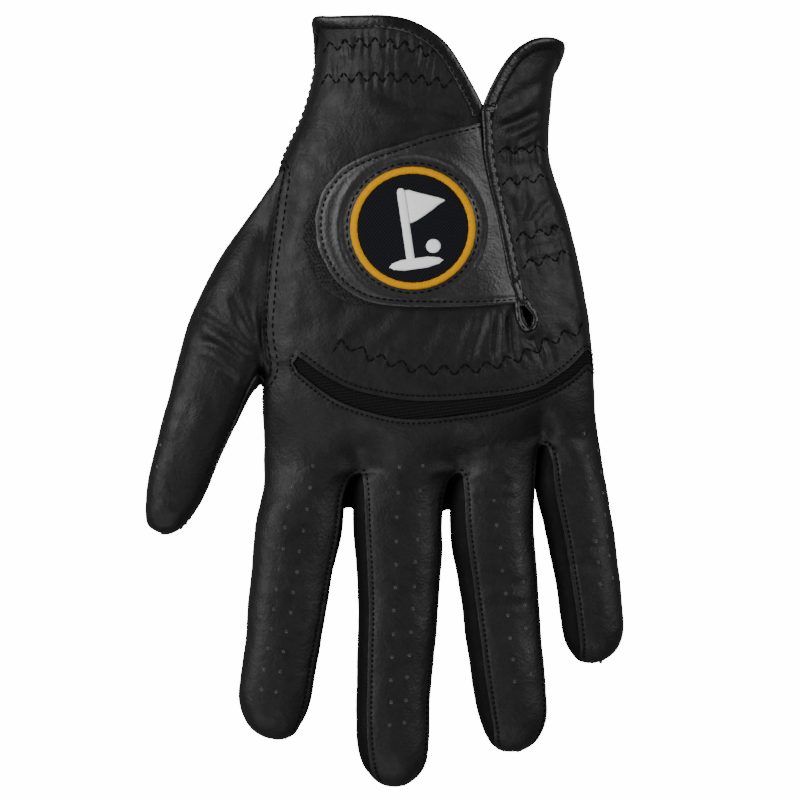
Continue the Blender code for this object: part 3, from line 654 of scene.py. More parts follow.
# ---------------------------------------------------------------- reading the skin
BACK, PALM = 1, -1
DEEPEST = -1.0           # where folds meet they go no deeper than this
FAMILY = {"knuckle_insert": "insert"}
for label in LABELS:
    if "_side_to_" in label:
        FAMILY[label] = "sides"
    elif label.startswith("thumb"):
        FAMILY[label] = "thumb"
    else:
        FAMILY.setdefault(label, "trank")
OVER_UNDER = {("trank", "sides"), ("trank", "insert")}


def unit(v):
    return v / np.maximum(np.linalg.norm(v, axis=-1, keepdims=True), 1e-9)


def vertex_normals(points, faces):
    """Normals of a mesh of quads, from the areas round each point."""
    a, b, c, d = (points[faces[:, i]] for i in range(4))
    facing = np.cross(c - a, d - b)
    out = np.zeros_like(points)
    for axis in range(3):
        for i in range(4):
            out[:, axis] += np.bincount(faces[:, i], facing[:, axis], len(points))
    return unit(out)


normals = vertex_normals(skin, quads)
smooth_tree = BVHTree.FromPolygons(skin.tolist(), quads.tolist())


def shared_edges():
    """Edges between two labels, each with the middle of its face in the first label, and the open edges."""
    ends = np.concatenate([quads[:, [i, (i + 1) % 4]] for i in range(4)])
    owner = np.tile(np.arange(len(quads)), 4)
    low, high = ends.min(1), ends.max(1)
    order = np.argsort(low * len(skin) + high, kind="stable")
    low, high, owner = low[order], high[order], owner[order]
    twin = (low[1:] == low[:-1]) & (high[1:] == high[:-1])
    first = np.nonzero(twin)[0]
    lone = np.ones(len(low), bool)
    lone[first] = lone[first + 1] = False
    pairs = {}
    for i in first[tags[owner[first]] != tags[owner[first + 1]]]:
        faces = sorted((owner[i], owner[i + 1]), key=lambda f: LABELS[tags[f]])
        key = tuple(LABELS[tags[f]] for f in faces)
        middles = [skin[quads[f]].mean(0) for f in faces]
        pairs.setdefault(key, []).append((int(low[i]), int(high[i]), middles))
    return pairs, [(int(a), int(b)) for a, b in zip(low[lone], high[lone])]


def chains(edges):
    """Edges joined end to end into lists of vertices."""
    links = {}
    for a, b in edges:
        links.setdefault(a, []).append(b)
        links.setdefault(b, []).append(a)
    ends = [v for v, near in links.items() if len(near) != 2]
    out = []
    for start in ends + list(links):
        while links[start]:
            chain = [start]
            while links[chain[-1]]:
                there = links[chain[-1]].pop(0)
                links[there].remove(chain[-1])
                chain.append(there)
            out.append(chain)
    return out


pairs, open_edges = shared_edges()


def is_seam(pair, place):
    """Whether two panels are sewn together here: elsewhere the leather runs on or is folded."""
    families = {FAMILY[name] for name in pair}
    if len(families) > 1:
        return True
    if pair == ("hand_back", "hand_palm"):
        return place[0] < 0 < place[1]
    if families == {"thumb"} and pair[0].split("_")[1] == pair[1].split("_")[1]:
        (x, y), (dx, dy) = THUMB_END if "tip" in pair[0] else THUMB_BASE
        return (place[0] - x) * dy - (place[1] - y) * dx < 0
    return False


seams = {}
for pair, edges in pairs.items():
    kept = [e for e in edges if is_seam(pair, skin[e[0]])]
    if kept:
        seams[pair] = kept


# ---------------------------------------------------------------- folds, puckers and seams
def resample(line, step):
    """The same line as points at even steps; columns past the first three go along."""
    run = np.concatenate([[0], np.cumsum(np.linalg.norm(np.diff(line, axis=0), axis=1))])
    at = np.linspace(0, run[-1], max(2, int(round(run[-1] / step)) + 1))
    return np.stack([np.interp(at, run, line[:, k]) for k in range(line.shape[1])], axis=1)


def curve(points, step=0.8):
    """A smooth line through the points, at even steps."""
    p = np.array(points, float)
    p = np.vstack([2 * p[0] - p[1], p, 2 * p[-1] - p[-2]])
    t = np.linspace(0, 1, 12, endpoint=False)[:, None]
    out = []
    for a, b, c, d in zip(p, p[1:], p[2:], p[3:]):
        out.append(0.5 * (2 * b + (c - a) * t + (2 * a - 5 * b + 4 * c - d) * t ** 2
                          + (3 * b - a - 3 * c + d) * t ** 3))
    return resample(np.vstack(out + [p[-2:-1]]), step)


def near(line, reach, side):
    """Skin points near a line seen from above: their numbers, distances and places along it."""
    low, high = line.min(0) - reach, line.max(0) + reach
    inside = np.all((skin[:, :2] > low) & (skin[:, :2] < high), axis=1)
    found = np.nonzero(inside & (side * normals[:, 2] > 0.02))[0]
    gap = np.linalg.norm(skin[found, None, :2] - line[None], axis=2)
    return found, gap.min(1), gap.argmin(1) / (len(line) - 1)


def noise_at(points, size, octaves=1, stretch=(1, 1, 1), seed=0.0):
    """Smooth noise from about -1 to 1, with features of this size in mm."""
    scaled = points / (size * np.array(stretch)) + seed
    return np.array([noise.fractal(Vector(p), 0.9, 2.0, octaves) for p in scaled])


# How far each point of the skin is pushed out: broad swells, small lumps and grain come first
relief = 0.5 * noise_at(skin, 22.0, 2) + 0.15 * noise_at(skin, 7.0, 3, (1, 1.5, 1), 3.1)
relief += 0.07 * noise_at(skin, 2.4, 3, (1, 1, 1), 9.7)


def ridge(value, middle, width):
    """A bump of height 1 where value is at the middle."""
    return np.exp(-((value - middle) / width) ** 2)


def crease(points, depth, width, side):
    """A valley with a soft ridge beside it, that fades at its two ends."""
    line = curve(points)
    found, gap, along = near(line, 4 * width, side)
    fade = ease(np.clip(along / 0.25, 0, 1) * np.clip((1 - along) / 0.3, 0, 1))
    relief[found] += fade * depth * (0.4 * ridge(gap, 2.1 * width, width) - ridge(gap, 0, width))


def pucker(points, half, period, height):
    """Small uneven gathers across a line of elastic, each one a soft ridge between sharp valleys."""
    line = curve(points)
    found, gap, along = near(line, 3 * half, BACK)
    length = len(line) * 0.8
    wander = noise_at(skin[found], 7.0, 2, (1, 2.0, 1), 5.0) * 3.6
    wave = np.abs(np.sin(pi * along * length / period + 0.5 * wander))
    strong = np.clip(0.75 + 0.9 * noise_at(skin[found], 8.0, 1, (1, 0.8, 1), 12.0), 0.15, 1.3)
    envelope = ridge(gap, 0, half) * np.clip(6 * along, 0, 1) * np.clip(6 - 6 * along, 0, 1)
    relief[found] += height * envelope * strong * (wave - 0.7) - 0.3 * ridge(gap, 0, 1.4) * envelope


ZIGZAGS = {    # the line down the middle of each zigzag row, its period and half its height
    "cuff_upper": ([(-31, 85.2), (-20, 86.3), (-8, 85.6), (2.5, 82.6)], 4.6, 1.7),
    "cuff_lower": ([(-31.6, 75.6), (-18, 76.0), (-4, 75.4), (8.0, 73.6)], 4.6, 1.7),
    "outer_a": ([(22.0, 54.2), (29, 54.0), (36.4, 55.2)], 4.7, 1.2),
    "outer_b": ([(23.2, 44.6), (30, 45.0), (37.4, 46.4)], 4.7, 1.3),
    "outer_c": ([(27.2, 27.8), (35, 29.2), (42.0, 31.2)], 5.0, 1.5),
    "outer_d": ([(29.4, 19.6), (37, 21.2), (44.2, 23.6)], 5.0, 1.5),
    "knuckle": ([(-28.5, -5.4), (-23.5, -4.6), (-17.1, -8.0), (-10.7, -9.8), (-2.4, -12.1), (4.5, -12.4),
                 (11.3, -12.1), (17.7, -11.5), (22.3, -10.3), (30.5, -7.5), (36.9, -3.9), (43.3, -1.4),
                 (48.6, 0.8)], 6.6, 1.75),
}
BETWEEN_ROWS = ([(22.4, 49.6), (30, 49.6), (38, 51)], [(28, 23.8), (36, 25.2), (44, 27.4)],
                [(-32, 80.6), (-10, 81), (5, 78)])
for name, (points, _, _) in ZIGZAGS.items():
    pucker(points, 3.4, 3.3, 0.5 if name == "knuckle" else 0.7)
for points in BETWEEN_ROWS:
    pucker(points, 4.2, 2.9, 0.62)

BACK_FOLDS = (    # depth, width and the line of each valley on the back, from the cuff to the thumb
    (0.65, 2.3, (15, 63.5), (-6, 67.2), (-19, 73)), (0.5, 1.6, (14, 68), (3, 70.6), (-8, 72)),
    (0.5, 2.0, (15, 61.8), (3, 61.4), (-9, 57.8)), (0.3, 2.6, (-9, 62), (-22, 66), (-34, 64)),
    (0.95, 1.5, (20.6, 60.2), (28, 62.4), (36.6, 67.4)), (0.6, 1.0, (27, 56.6), (33, 59.4), (38.6, 63.6)),
    (0.45, 0.8, (31, 54.6), (35, 57.6), (38.6, 61.4)), (0.35, 1.5, (21.8, 66.4), (28, 70.5), (34, 76.6)),
    (0.3, 1.4, (30, 70.5), (35, 75), (40, 80)), (0.45, 1.1, (31, 30.5), (36, 37), (41, 41)),
    (0.4, 1.1, (28.6, 32), (30.6, 38), (30.2, 43)), (0.3, 1.0, (24.4, 41), (27, 36), (27.6, 31)),
    (0.4, 1.3, (44, 8), (47, 3), (49, -2)), (0.35, 1.1, (39, 2), (43.4, -2), (46.4, -7)),
    (0.4, 1.1, (36, -2), (38.4, -7), (38.6, -12)), (1.25, 1.3, (25.8, 7.5), (26.2, -2), (27.4, -11.5)),
    (1.0, 0.85, (22.2, 7.5), (21.4, -2), (20.6, -12)), (0.6, 1.2, (18.6, 7.5), (15.8, -2), (12.6, -12)),
    (0.6, 1.1, (29.2, -1.6), (31.4, -3.4), (34.6, -3)), (0.36, 1.7, (13.6, 5), (9.4, -2), (6, -11)),
    (0.3, 1.9, (6, 5.2), (1, -2), (-3, -10)), (0.3, 1.6, (-2, 6.2), (-9, -2), (-14, -8)),
    (0.35, 2.2, (-7, 6.6), (-17, 0.5), (-24, -3.5)), (0.25, 2.4, (-20, 7), (-30, 2), (-38, -1)),
    (0.5, 1.2, (33.5, 1), (34, -5), (36, -12)), (0.35, 2.4, (-36, 47), (-41, 38), (-43, 27)),
    (0.25, 2.0, (-30, 51), (-37, 54), (-40, 55)), (0.3, 2.6, (-39, 12), (-35, 4), (-40, -4)),
    (0.45, 3.0, (6, -46), (15, -39), (30, -33)), (0.28, 1.2, (11, -48), (19, -46.5), (29, -47.5)),
    (0.22, 1.1, (12, -52.5), (21, -51), (31, -52)), (0.22, 1.5, (37, -33), (44, -32.6), (51, -35)),
    (0.2, 1.8, (-25, -43), (-14, -42), (-2, -44)), (0.25, 2.6, (-20, -40), (-12, -33), (0, -31)),
    (0.22, 1.2, (38, -73), (47, -71.5), (56, -73)), (0.2, 1.0, (41, -66.5), (49, -66.8), (56, -65)),
    (0.26, 1.6, (14, -79), (23, -77), (33, -78.5)), (0.18, 1.2, (15, -84.5), (24, -83.5), (34, -84)),
    (0.15, 1.6, (-19, -80.5), (-9, -79.5), (2, -81)), (0.15, 1.6, (-53, -78), (-43, -76.5), (-32, -78)),
    (0.18, 1.8, (-50, -51), (-38, -50), (-28, -53)),
    (0.75, 1.35, (-72.5, 2.4), (-67.7, 3.6), (-61.5, 0.3), (-55.4, -4.4), (-51.6, -8.4)),
    (0.7, 1.3, (-70.8, -3), (-65.2, -4.4), (-60, -7.2), (-54, -12)),
    (0.6, 1.2, (-59.5, 12), (-56.4, 5.6), (-53.2, -1.4), (-51.4, -5.2)),
    (0.4, 1.3, (-71.6, -9), (-66, -10.4), (-60.5, -13.6), (-56.4, -17.6)),
    (0.3, 1.6, (-66, 12), (-63.4, 7.4), (-58.6, 2.8)), (0.22, 1.4, (-74, -14), (-69.6, -17), (-63, -21)),
    (0.2, 1.6, (-66.4, -19), (-65, -26), (-67.6, -33)), (0.18, 1.8, (-71, -20), (-73, -28), (-76, -38)),
    (0.14, 1.2, (-81, -40), (-76, -42.4), (-69.5, -42)),
    (0.16, 1.1, (-82, -50), (-77, -53), (-71, -52.5)),
)
PALM_FOLDS = (    # and on the palm
    (0.8, 1.8, (-46, -27), (-30, -31), (-12, -32)), (0.8, 1.8, (52, -20), (30, -26), (6, -29)),
    (0.7, 1.8, (-45, -12), (-30, 2), (-22, 24), (-20, 44)), (0.6, 1.8, (-40, -16), (-10, -4), (20, 2)),
    (0.5, 1.6, (-34, 55), (0, 51), (34, 56)), (0.4, 2.2, (30, 10), (24, 28), (26, 46)),
    (0.6, 1.0, (-52, -77), (-42, -78), (-32, -77)), (0.6, 1.0, (-19, -80), (-9, -81), (3, -80)),
    (0.6, 1.0, (12, -77), (22, -78), (33, -77)), (0.6, 1.0, (38, -62), (47, -63), (56, -62)),
    (0.5, 1.0, (-80, -33), (-72, -36), (-64, -36)), (0.6, 1.4, (-70, -4), (-62, -10), (-55, -15)),
)
for side, folds in ((BACK, BACK_FOLDS), (PALM, PALM_FOLDS)):
    for depth, width, *points in folds:
        crease(points, depth, width, side)
relief = np.maximum(relief, DEEPEST)

STITCH_INSET = 1.35      # from a seam to the stitches that hold it down
TIP_CLEAR = 4.6          # stitches stop this far from the point of each finger
TIPS = [Vector((*spec["tip"], 8.0)) for spec in FINGERS.values()] + [Vector(THUMB_TIP)]


def from_tips(place):
    """Distance to the nearest fingertip."""
    return min((Vector(place) - tip).length for tip in TIPS)


def distances(points, edges):
    """How far each point is from the nearest of these edges, to 9 mm."""
    far = 9.0
    if not edges:
        return np.full(len(points), far)
    marks = [lerp(skin[a], skin[b], t) for a, b, _ in edges for t in (0, 0.5)]
    tree = KDTree(len(marks))
    for i, mark in enumerate(marks):
        tree.insert(mark, i)
    tree.balance()
    return np.array([min(far, tree.find(p)[2]) for p in points])


def seam_relief(family, points):
    """The lap of one panel's edge over the next, and the row of dents its stitches pull."""
    over, under, level = [], [], []
    for pair, edges in seams.items():
        families = tuple(FAMILY[name] for name in pair)
        if family not in families:
            continue
        if families[0] == families[1] or "thumb" in families:
            level += edges
            continue
        other = families[1] if families[0] == family else families[0]
        (over if (family, other) in OVER_UNDER else under).extend(edges)
    d_over, d_under, d_level = (distances(points, edges) for edges in (over, under, level))
    fade = np.clip(np.array([from_tips(p) for p in points]) / 4.0, 0, 1)
    out = 0.34 * ridge(d_over, 0, 1.5) - 0.3 * ridge(d_over, STITCH_INSET, 0.45)
    out -= 0.34 * ridge(d_under, 0, 1.4)
    out -= 0.42 * ridge(d_level, 0, 0.7) - 0.12 * ridge(d_level, 1.6, 0.7)
    return out * fade


class Family:
    """Panels cut from one run of leather: outer points, normals and a tree to lay things on them."""

    def __init__(self, name):
        chosen = [FAMILY[LABELS[t]] == name for t in tags]
        self.faces, self.labels = quads[chosen], tags[chosen]
        used = np.unique(self.faces)
        self.lift = np.zeros(len(skin))
        self.lift[used] = relief[used] + seam_relief(name, skin[used])
        self.points = skin + normals * self.lift[:, None]
        self.normals = vertex_normals(self.points, self.faces)
        self.tree = BVHTree.FromPolygons(self.points.tolist(), self.faces.tolist())

    def nearest(self, place):
        """The nearest outer point, its normal and the label it is on."""
        spot, normal, face, _ = self.tree.find_nearest(Vector(place))
        return np.array(spot), np.array(normal), LABELS[self.labels[face]]

    def under(self, x, y, side=BACK):
        """The point of the outside straight below (or above) a place in the plan view."""
        spot, normal, face, _ = self.tree.ray_cast(Vector((x, y, 90.0 * side)), Vector((0, 0, -side)))
        if spot is None:
            return self.nearest((x, y, 20.0))
        return np.array(spot), np.array(normal), LABELS[self.labels[face]]


families = {name: Family(name) for name in ("trank", "sides", "insert", "thumb")}
trank, thumb = families["trank"], families["thumb"]

# ---------------------------------------------------------------- materials
class Paint:
    """A node material, with short calls for the nodes it is built from."""

    def __init__(self, name, colour, roughness, **sockets):
        self.made = bpy.data.materials.new(name)
        self.made.use_nodes = True
        self.tree = self.made.node_tree
        self.shader = self.tree.nodes["Principled BSDF"]
        self.shader.inputs["Base Color"].default_value = (*colour, 1)
        self.shader.inputs["Roughness"].default_value = roughness
        for socket, value in sockets.items():
            self.shader.inputs[socket.replace("_", " ")].default_value = value
        coordinates = self.tree.nodes.new("ShaderNodeTexCoord")
        self.place = coordinates.outputs["Object"]

    def feed(self, socket, value):
        """Links a node's output to a socket, or sets a constant on it."""
        if isinstance(value, bpy.types.NodeSocket):
            self.tree.links.new(value, socket)
        else:
            socket.default_value = value

    def node(self, kind, inputs, **settings):
        made = self.tree.nodes.new("ShaderNode" + kind)
        for key, value in settings.items():
            setattr(made, key, value)
        for key, value in inputs.items():
            self.feed(made.inputs[key], value)
        return made

    def noise(self, size, detail, roughness=0.55):
        """Noise with features of this size in mm."""
        inputs = {"Vector": self.place, "Scale": 1000 / size, "Detail": detail, "Roughness": roughness}
        return self.node("TexNoise", inputs).outputs["Fac"]

    def cells(self, size):
        """Distance to the middle of the nearest of many cells of this size."""
        inputs = {"Vector": self.place, "Scale": 1000 / size, "Randomness": 1.0}
        return self.node("TexVoronoi", inputs, feature="F1").outputs["Distance"]

    def maths(self, operation, a, b):
        return self.node("Math", {0: a, 1: b}, operation=operation).outputs[0]

    def span(self, value, low, high, out_low, out_high):
        """The value's range low to high, mapped to another range."""
        inputs = {"Value": value, "From Min": low, "From Max": high, "To Min": out_low, "To Max": out_high}
        return self.node("MapRange", inputs).outputs["Result"]

    def mix(self, factor, a, b):
        made = self.node("Mix", {0: factor}, data_type="RGBA")
        for socket, value in zip([s for s in made.inputs if s.type == "RGBA"], (a, b)):
            self.feed(socket, (*value, 1) if isinstance(value, tuple) else value)
        return next(s for s in made.outputs if s.type == "RGBA")

    def layer(self, name):
        """A value that the mesh carries at each point."""
        return self.node("Attribute", {}, attribute_name=name).outputs["Fac"]

    def bump(self, height, distance, strength, under=None):
        inputs = {"Height": height, "Distance": distance * MM, "Strength": strength}
        if under:
            inputs["Normal"] = under
        return self.node("Bump", inputs).outputs["Normal"]

    def finish(self, colour=None, roughness=None, normal=None):
        for key, value in (("Base Color", colour), ("Roughness", roughness), ("Normal", normal)):
            if value is not None:
                self.tree.links.new(value, self.shader.inputs[key])
        return self.made


def tint(colour, factor):
    return tuple(factor * c for c in colour)


def make_leather(name, dark, light, rough, specular=0.2):
    """Thin, soft glove leather: fine pores and grain, cloudy dye, painted shade in seams and creases, and
    raised crests painted lighter as wear and as a painted highlight.
    """
    paint = Paint(name, dark, 0.45, Specular_IOR_Level=specular)
    cloud = paint.span(paint.noise(16, 4), 0.3, 0.7, 0, 1)
    colour = paint.mix(cloud, dark, light)
    speck = paint.span(paint.noise(1.3, 5, 0.75), 0.42, 0.72, 0, 0.6)
    colour = paint.mix(speck, colour, tint(light, 1.7))
    pores = paint.span(paint.cells(0.9), 0.0, 0.3, 0.5, 0)
    colour = paint.mix(pores, colour, tint(dark, 0.4))
    # Painted shade: where the relief sinks into creases and seam grooves, the colour goes toward near-black.
    crease_shade_share = paint.span(paint.layer("painted_crease_shade"), 0.1, 1.0, 0, 0.9)
    colour = paint.mix(crease_shade_share, colour, (0.0008, 0.0008, 0.001))
    # Painted highlight, with some wear: raised crests, and the tab's rounded rim, are lightened.
    crest_lightening = paint.span(paint.layer("crest_wear_and_highlight"), 0.0, 1.0, 0, 0.45)
    colour = paint.mix(crest_lightening, colour, tint(light, 2.4))
    normal = paint.bump(paint.noise(3.2, 4, 0.6), 0.34, 0.6)
    normal = paint.bump(paint.cells(0.95), 0.11, 0.6, normal)
    normal = paint.bump(paint.noise(0.5, 4, 0.65), 0.06, 0.6, normal)
    roughness = paint.span(paint.noise(5, 4, 0.6), 0.3, 0.7, *rough)
    return paint.finish(colour, roughness, normal)


def make_suede(name, dark, light):
    """The flesh side of leather: a matt nap."""
    paint = Paint(name, dark, 0.9, Specular_IOR_Level=0.15, Sheen_Weight=0.3, Sheen_Roughness=0.6)
    colour = paint.mix(paint.span(paint.noise(2.5, 6, 0.7), 0.3, 0.7, 0, 1), dark, light)
    return paint.finish(colour, None, paint.bump(paint.noise(0.35, 5, 0.75), 0.12, 0.9))


def stripes(paint, size, angle, distortion):
    """Even ridges this many mm apart, turned by an angle in degrees."""
    turned = paint.node("Mapping", {"Vector": paint.place, "Rotation": (0, 0, radians(angle))})
    inputs = {"Vector": turned.outputs["Vector"], "Scale": 100 * pi / size, "Distortion": distortion,
              "Detail": 2.0, "Detail Scale": 2.0}
    return paint.node("TexWave", inputs, wave_profile="SIN").outputs["Fac"]


def make_knit():
    """Stretch knit: fine ribs across the hand, broken into loops."""
    paint = Paint("knit_black", (0.004, 0.004, 0.005), 0.9, Specular_IOR_Level=0.12)
    ribs, loops = stripes(paint, 1.0, 82, 0.6), stripes(paint, 0.7, -8, 0.6)
    weave = paint.maths("MULTIPLY", ribs, loops)
    colour = paint.mix(weave, (0.002, 0.002, 0.0022), (0.012, 0.012, 0.0135))
    return paint.finish(colour, None, paint.bump(weave, 0.2, 0.9))


def make_twill():
    """Navy-black twill: steep diagonal ribs crossed by fine threads."""
    paint = Paint("twill_navy", (0.004, 0.005, 0.007), 0.85, Specular_IOR_Level=0.08)
    ribs, threads = stripes(paint, 0.75, 38, 0.15), stripes(paint, 0.42, -52, 0.3)
    weave = paint.maths("ADD", paint.maths("MULTIPLY", ribs, 0.75), paint.maths("MULTIPLY", threads, 0.25))
    colour = paint.mix(weave, (0.0012, 0.0014, 0.0022), (0.0115, 0.0125, 0.0165))
    return paint.finish(colour, None, paint.bump(weave, 0.14, 0.9))


def make_thread(name, dark, light, roughness, specular):
    """Twisted sewing thread with fine fibres."""
    paint = Paint(name, light, roughness, Specular_IOR_Level=specular)
    fibres = paint.noise(0.22, 3, 0.7)
    colour = paint.mix(paint.span(fibres, 0.3, 0.7, 0, 1), dark, light)
    return paint.finish(colour, None, paint.bump(fibres, 0.06, 0.8))


def make_plain_nap(name, dark, light):
    """Woven or brushed nylon."""
    paint = Paint(name, dark, 0.8, Specular_IOR_Level=0.3)
    colour = paint.mix(paint.span(paint.noise(0.9, 4, 0.7), 0.3, 0.7, 0, 1), dark, light)
    return paint.finish(colour, None, paint.bump(paint.noise(0.4, 4, 0.7), 0.15, 0.8))


leather = make_leather("leather_black", (0.0017, 0.0017, 0.0020), (0.0042, 0.0041, 0.0047),
                       (0.43, 0.60), 0.27)
# Painted shade: the walls between the fingers get a darker copy of the black leather, for the shade that
# falls between them.
side_leather_painted_shade = make_leather("leather_fourchette_painted_shade", (0.0009, 0.0009, 0.0011), (0.002, 0.002, 0.0023),
                            (0.60, 0.76), 0.1)
binding_leather = make_leather("leather_binding", (0.0012, 0.0012, 0.0015), (0.0028, 0.0028, 0.0032),
                               (0.27, 0.38), 0.35)
# Painted light: the tab gets a lighter copy of the black leather, for the light that its raised top catches.
tab_leather = make_leather("leather_tab_painted_light", (0.0030, 0.0030, 0.0034), (0.0064, 0.0064, 0.0070),
                           (0.36, 0.48), 0.48)
suede = make_suede("suede_inside", (0.02, 0.02, 0.021), (0.045, 0.044, 0.043))
knit, twill = make_knit(), make_twill()
black_thread = make_thread("thread_black", (0.0008, 0.0008, 0.001), (0.003, 0.003, 0.0034), 0.75, 0.1)
# Painted sheen: a grey thread for the slit strip, for the light that its dark stitches catch.
grey_thread_painted_sheen = make_thread("thread_grey_painted_sheen", (0.03, 0.03, 0.031), (0.11, 0.11, 0.112), 0.5, 0.35)
gold_thread = make_thread("thread_gold", (0.40, 0.165, 0.0), (0.72, 0.34, 0.0), 0.9, 0.0)
white_thread = make_thread("thread_white", (0.66, 0.66, 0.66), (0.90, 0.90, 0.89), 0.6, 0.2)
hook_nylon = make_plain_nap("hook_nylon", (0.006, 0.006, 0.007), (0.018, 0.018, 0.019))
loop_nylon = make_plain_nap("loop_nylon", (0.003, 0.003, 0.0035), (0.03, 0.03, 0.032))
elastic_web = make_plain_nap("elastic_web", (0.014, 0.014, 0.015), (0.05, 0.05, 0.052))
# Painted shade: a near-black cup stands in each punched hole, for the shade inside it.
hole_shade_paint = make_suede("punched_hole_painted_shade", (0.0015, 0.0015, 0.0015), (0.003, 0.003, 0.003))
# Painted highlight: a paler leather for the lips of the punched holes and the thumb's piping.
pale_highlight_leather = make_leather("leather_painted_highlight", (0.015, 0.015, 0.016), (0.05, 0.05, 0.052), (0.35, 0.5))

# ---------------------------------------------------------------- pieces, and the bend spans of their groups
JOINTS = {joint["name"]: joint for joint in frame["joints"]}


def bend(joint, before, after):
    """The two bodies of a hinge, and a span across its axis in the plan view."""
    found = JOINTS[joint]
    place, axis = Vector(found["pos_m"]), Vector(found["axis"])
    along = Vector((axis.y, -axis.x, 0))
    return found["parent"], found["child"], place - along * before * MM, place + along * after * MM


BENDS = {name: bend(name + "_bend", 12, 12) for name in FINGERS}
# The back of the hand turns on a line a little oblique to the joint, as the knuckles do
BENDS["hand"] = ("hand", "knuckles", (0, -11.9 * MM, 0), (2.857 * MM, -38.6 * MM, 0))
BENDS["thumb_base"] = bend("thumb_base_bend", 5.5, 13)
BENDS["thumb_tip"] = bend("thumb_tip_bend", 8, 8)


def group_of(label):
    """The bend that a panel and all that is sewn to it share."""
    if label.startswith("thumb"):
        return "_".join(label.split("_")[:2])
    first = label.split("_")[0]
    return first if first in FINGERS else "hand"


def make_piece(name, points, faces, materials, group=None, body=None, stands_for=(),
               face_materials=None, layers=None, split_normals=None):
    """A mesh piece, from points in mm, hung on its body, or with its transform baked in when it has a group.
    """
    mesh = bpy.data.meshes.new(name)
    faces = faces if isinstance(faces, list) else faces.tolist()
    mesh.from_pydata((np.asarray(points) * MM).tolist(), [], faces)
    for one in materials:
        mesh.materials.append(one)
    if face_materials is not None:
        mesh.polygons.foreach_set("material_index", np.asarray(face_materials, np.int32))
    for key, values in (layers or {}).items():
        mesh.attributes.new(key, "FLOAT", "POINT").data.foreach_set("value", np.asarray(values, np.float32))
    mesh.polygons.foreach_set("use_smooth", [True] * len(mesh.polygons))
    if split_normals is not None:
        mesh.normals_split_custom_set_from_vertices(split_normals.tolist())
    made = bpy.data.objects.new(name, mesh)
    bpy.context.scene.collection.objects.link(made)
    if group:
        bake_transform(made)
    else:
        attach(made, body)
    if stands_for:
        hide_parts(*stands_for)


def grid(rows, columns):
    """Quads between rows of points."""
    first = (np.arange(rows - 1)[:, None] * columns + np.arange(columns - 1)).ravel()
    return np.stack([first, first + 1, first + columns + 1, first + columns], axis=1)


def shell(faces, shift):
    """A closed shell: quads, their copy whose points come shift later, and the walls between them."""
    ends = np.concatenate([faces[:, [i, (i + 1) % 4]] for i in range(4)])
    code = ends.min(1) * (faces.max() + 1) + ends.max(1)
    _, first, count = np.unique(code, return_index=True, return_counts=True)
    lone = ends[first[count == 1]]
    walls = np.stack([lone[:, 1], lone[:, 0], lone[:, 0] + shift, lone[:, 1] + shift], axis=1)
    return np.vstack([faces, faces[:, ::-1] + shift, walls])


def make_panel(label, outside, slot, *stands_for):
    """One leather panel as a closed shell: outer face, inner face and cut edge."""
    family = families[FAMILY[label]]
    chosen = quads[tags == LABELS.index(label)]
    used, local = np.unique(chosen, return_inverse=True)
    local = local.reshape(-1, 4)
    top = family.points[used]
    facing = family.normals[used]
    points = np.vstack([top, top - facing * LEATHER])
    faces = shell(local, len(used))
    inner = np.arange(len(faces)) // len(local) == 1
    lift = family.lift[used]
    # Sunken relief carries the painted shade of creases and seam grooves; raised relief carries the painted
    # highlight and wear of the crests.
    layers = {"painted_crease_shade": np.tile(np.clip(-lift / 1.1, 0, 1), 2),
              "crest_wear_and_highlight": np.tile(np.clip(lift / 0.9 - 0.35, 0, 1), 2)}
    make_piece(label + "_panel", points, faces, [outside, suede], group_of(label),
               stands_for=stands_for, face_materials=inner, layers=layers,
               split_normals=np.vstack([facing, -facing]))


def make_panels():
    """All panels, with the CAD parts that they stand for."""
    make_panel("hand_back", leather, "leather", "back_panel", "finger_backs_lower")
    make_panel("hand_palm", leather, "leather", "palm_panel", "finger_palms_lower")
    make_panel("knuckle_insert", knit, "knit", "knuckle_insert")
    names = list(FINGERS)
    for name in names:
        for side in ("back", "palm"):
            make_panel(f"{name}_{side}", leather, "leather", f"{name}_{side}", f"finger_{side}s_lower")
    for a, b in zip(names, names[1:]):
        for wall in (f"{a}_side_to_{b}", f"{b}_side_to_{a}"):
            # The walls take the darker leather of painted shade.
            make_panel(wall, side_leather_painted_shade, "leather", wall, f"fourchette_{a}_{b}")
    for side in ("back", "palm"):
        make_panel("thumb_base_" + side, leather, "leather", f"thumb_{side}_base", f"thumb_{side}_lower")
        make_panel("thumb_tip_" + side, leather, "leather", f"thumb_{side}_tip")


make_panels()

# ---------------------------------------------------------------- small repeated shapes
class Heap:
    """Many small closed shapes gathered into one piece."""

    def __init__(self):
        self.points, self.faces = [], []

    def add(self, points, faces):
        base = len(self.points)
        self.points.extend(np.asarray(points).tolist())
        self.faces.extend([[i + base for i in face] for face in faces])

    def piece(self, name, look, slot, group=None, body=None, stands_for=()):
        make_piece(name, self.points, self.faces, [look], group, body, stands_for)


def tube_faces(rings, sides, closed=False):
    """Faces of a tube, with flat ends unless it closes on itself."""
    faces = []
    for r in range(rings if closed else rings - 1):
        for i in range(sides):
            a, b, k = r * sides, (r + 1) % rings * sides, (i + 1) % sides
            faces.append([a + i, a + k, b + k, b + i])
    if not closed:
        faces += [list(range(sides))[::-1], list(range((rings - 1) * sides, rings * sides))]
    return faces


def sideways(path, facing):
    """Directions across a path that lies on a surface."""
    return unit(np.cross(facing, unit(np.gradient(path, axis=0))))


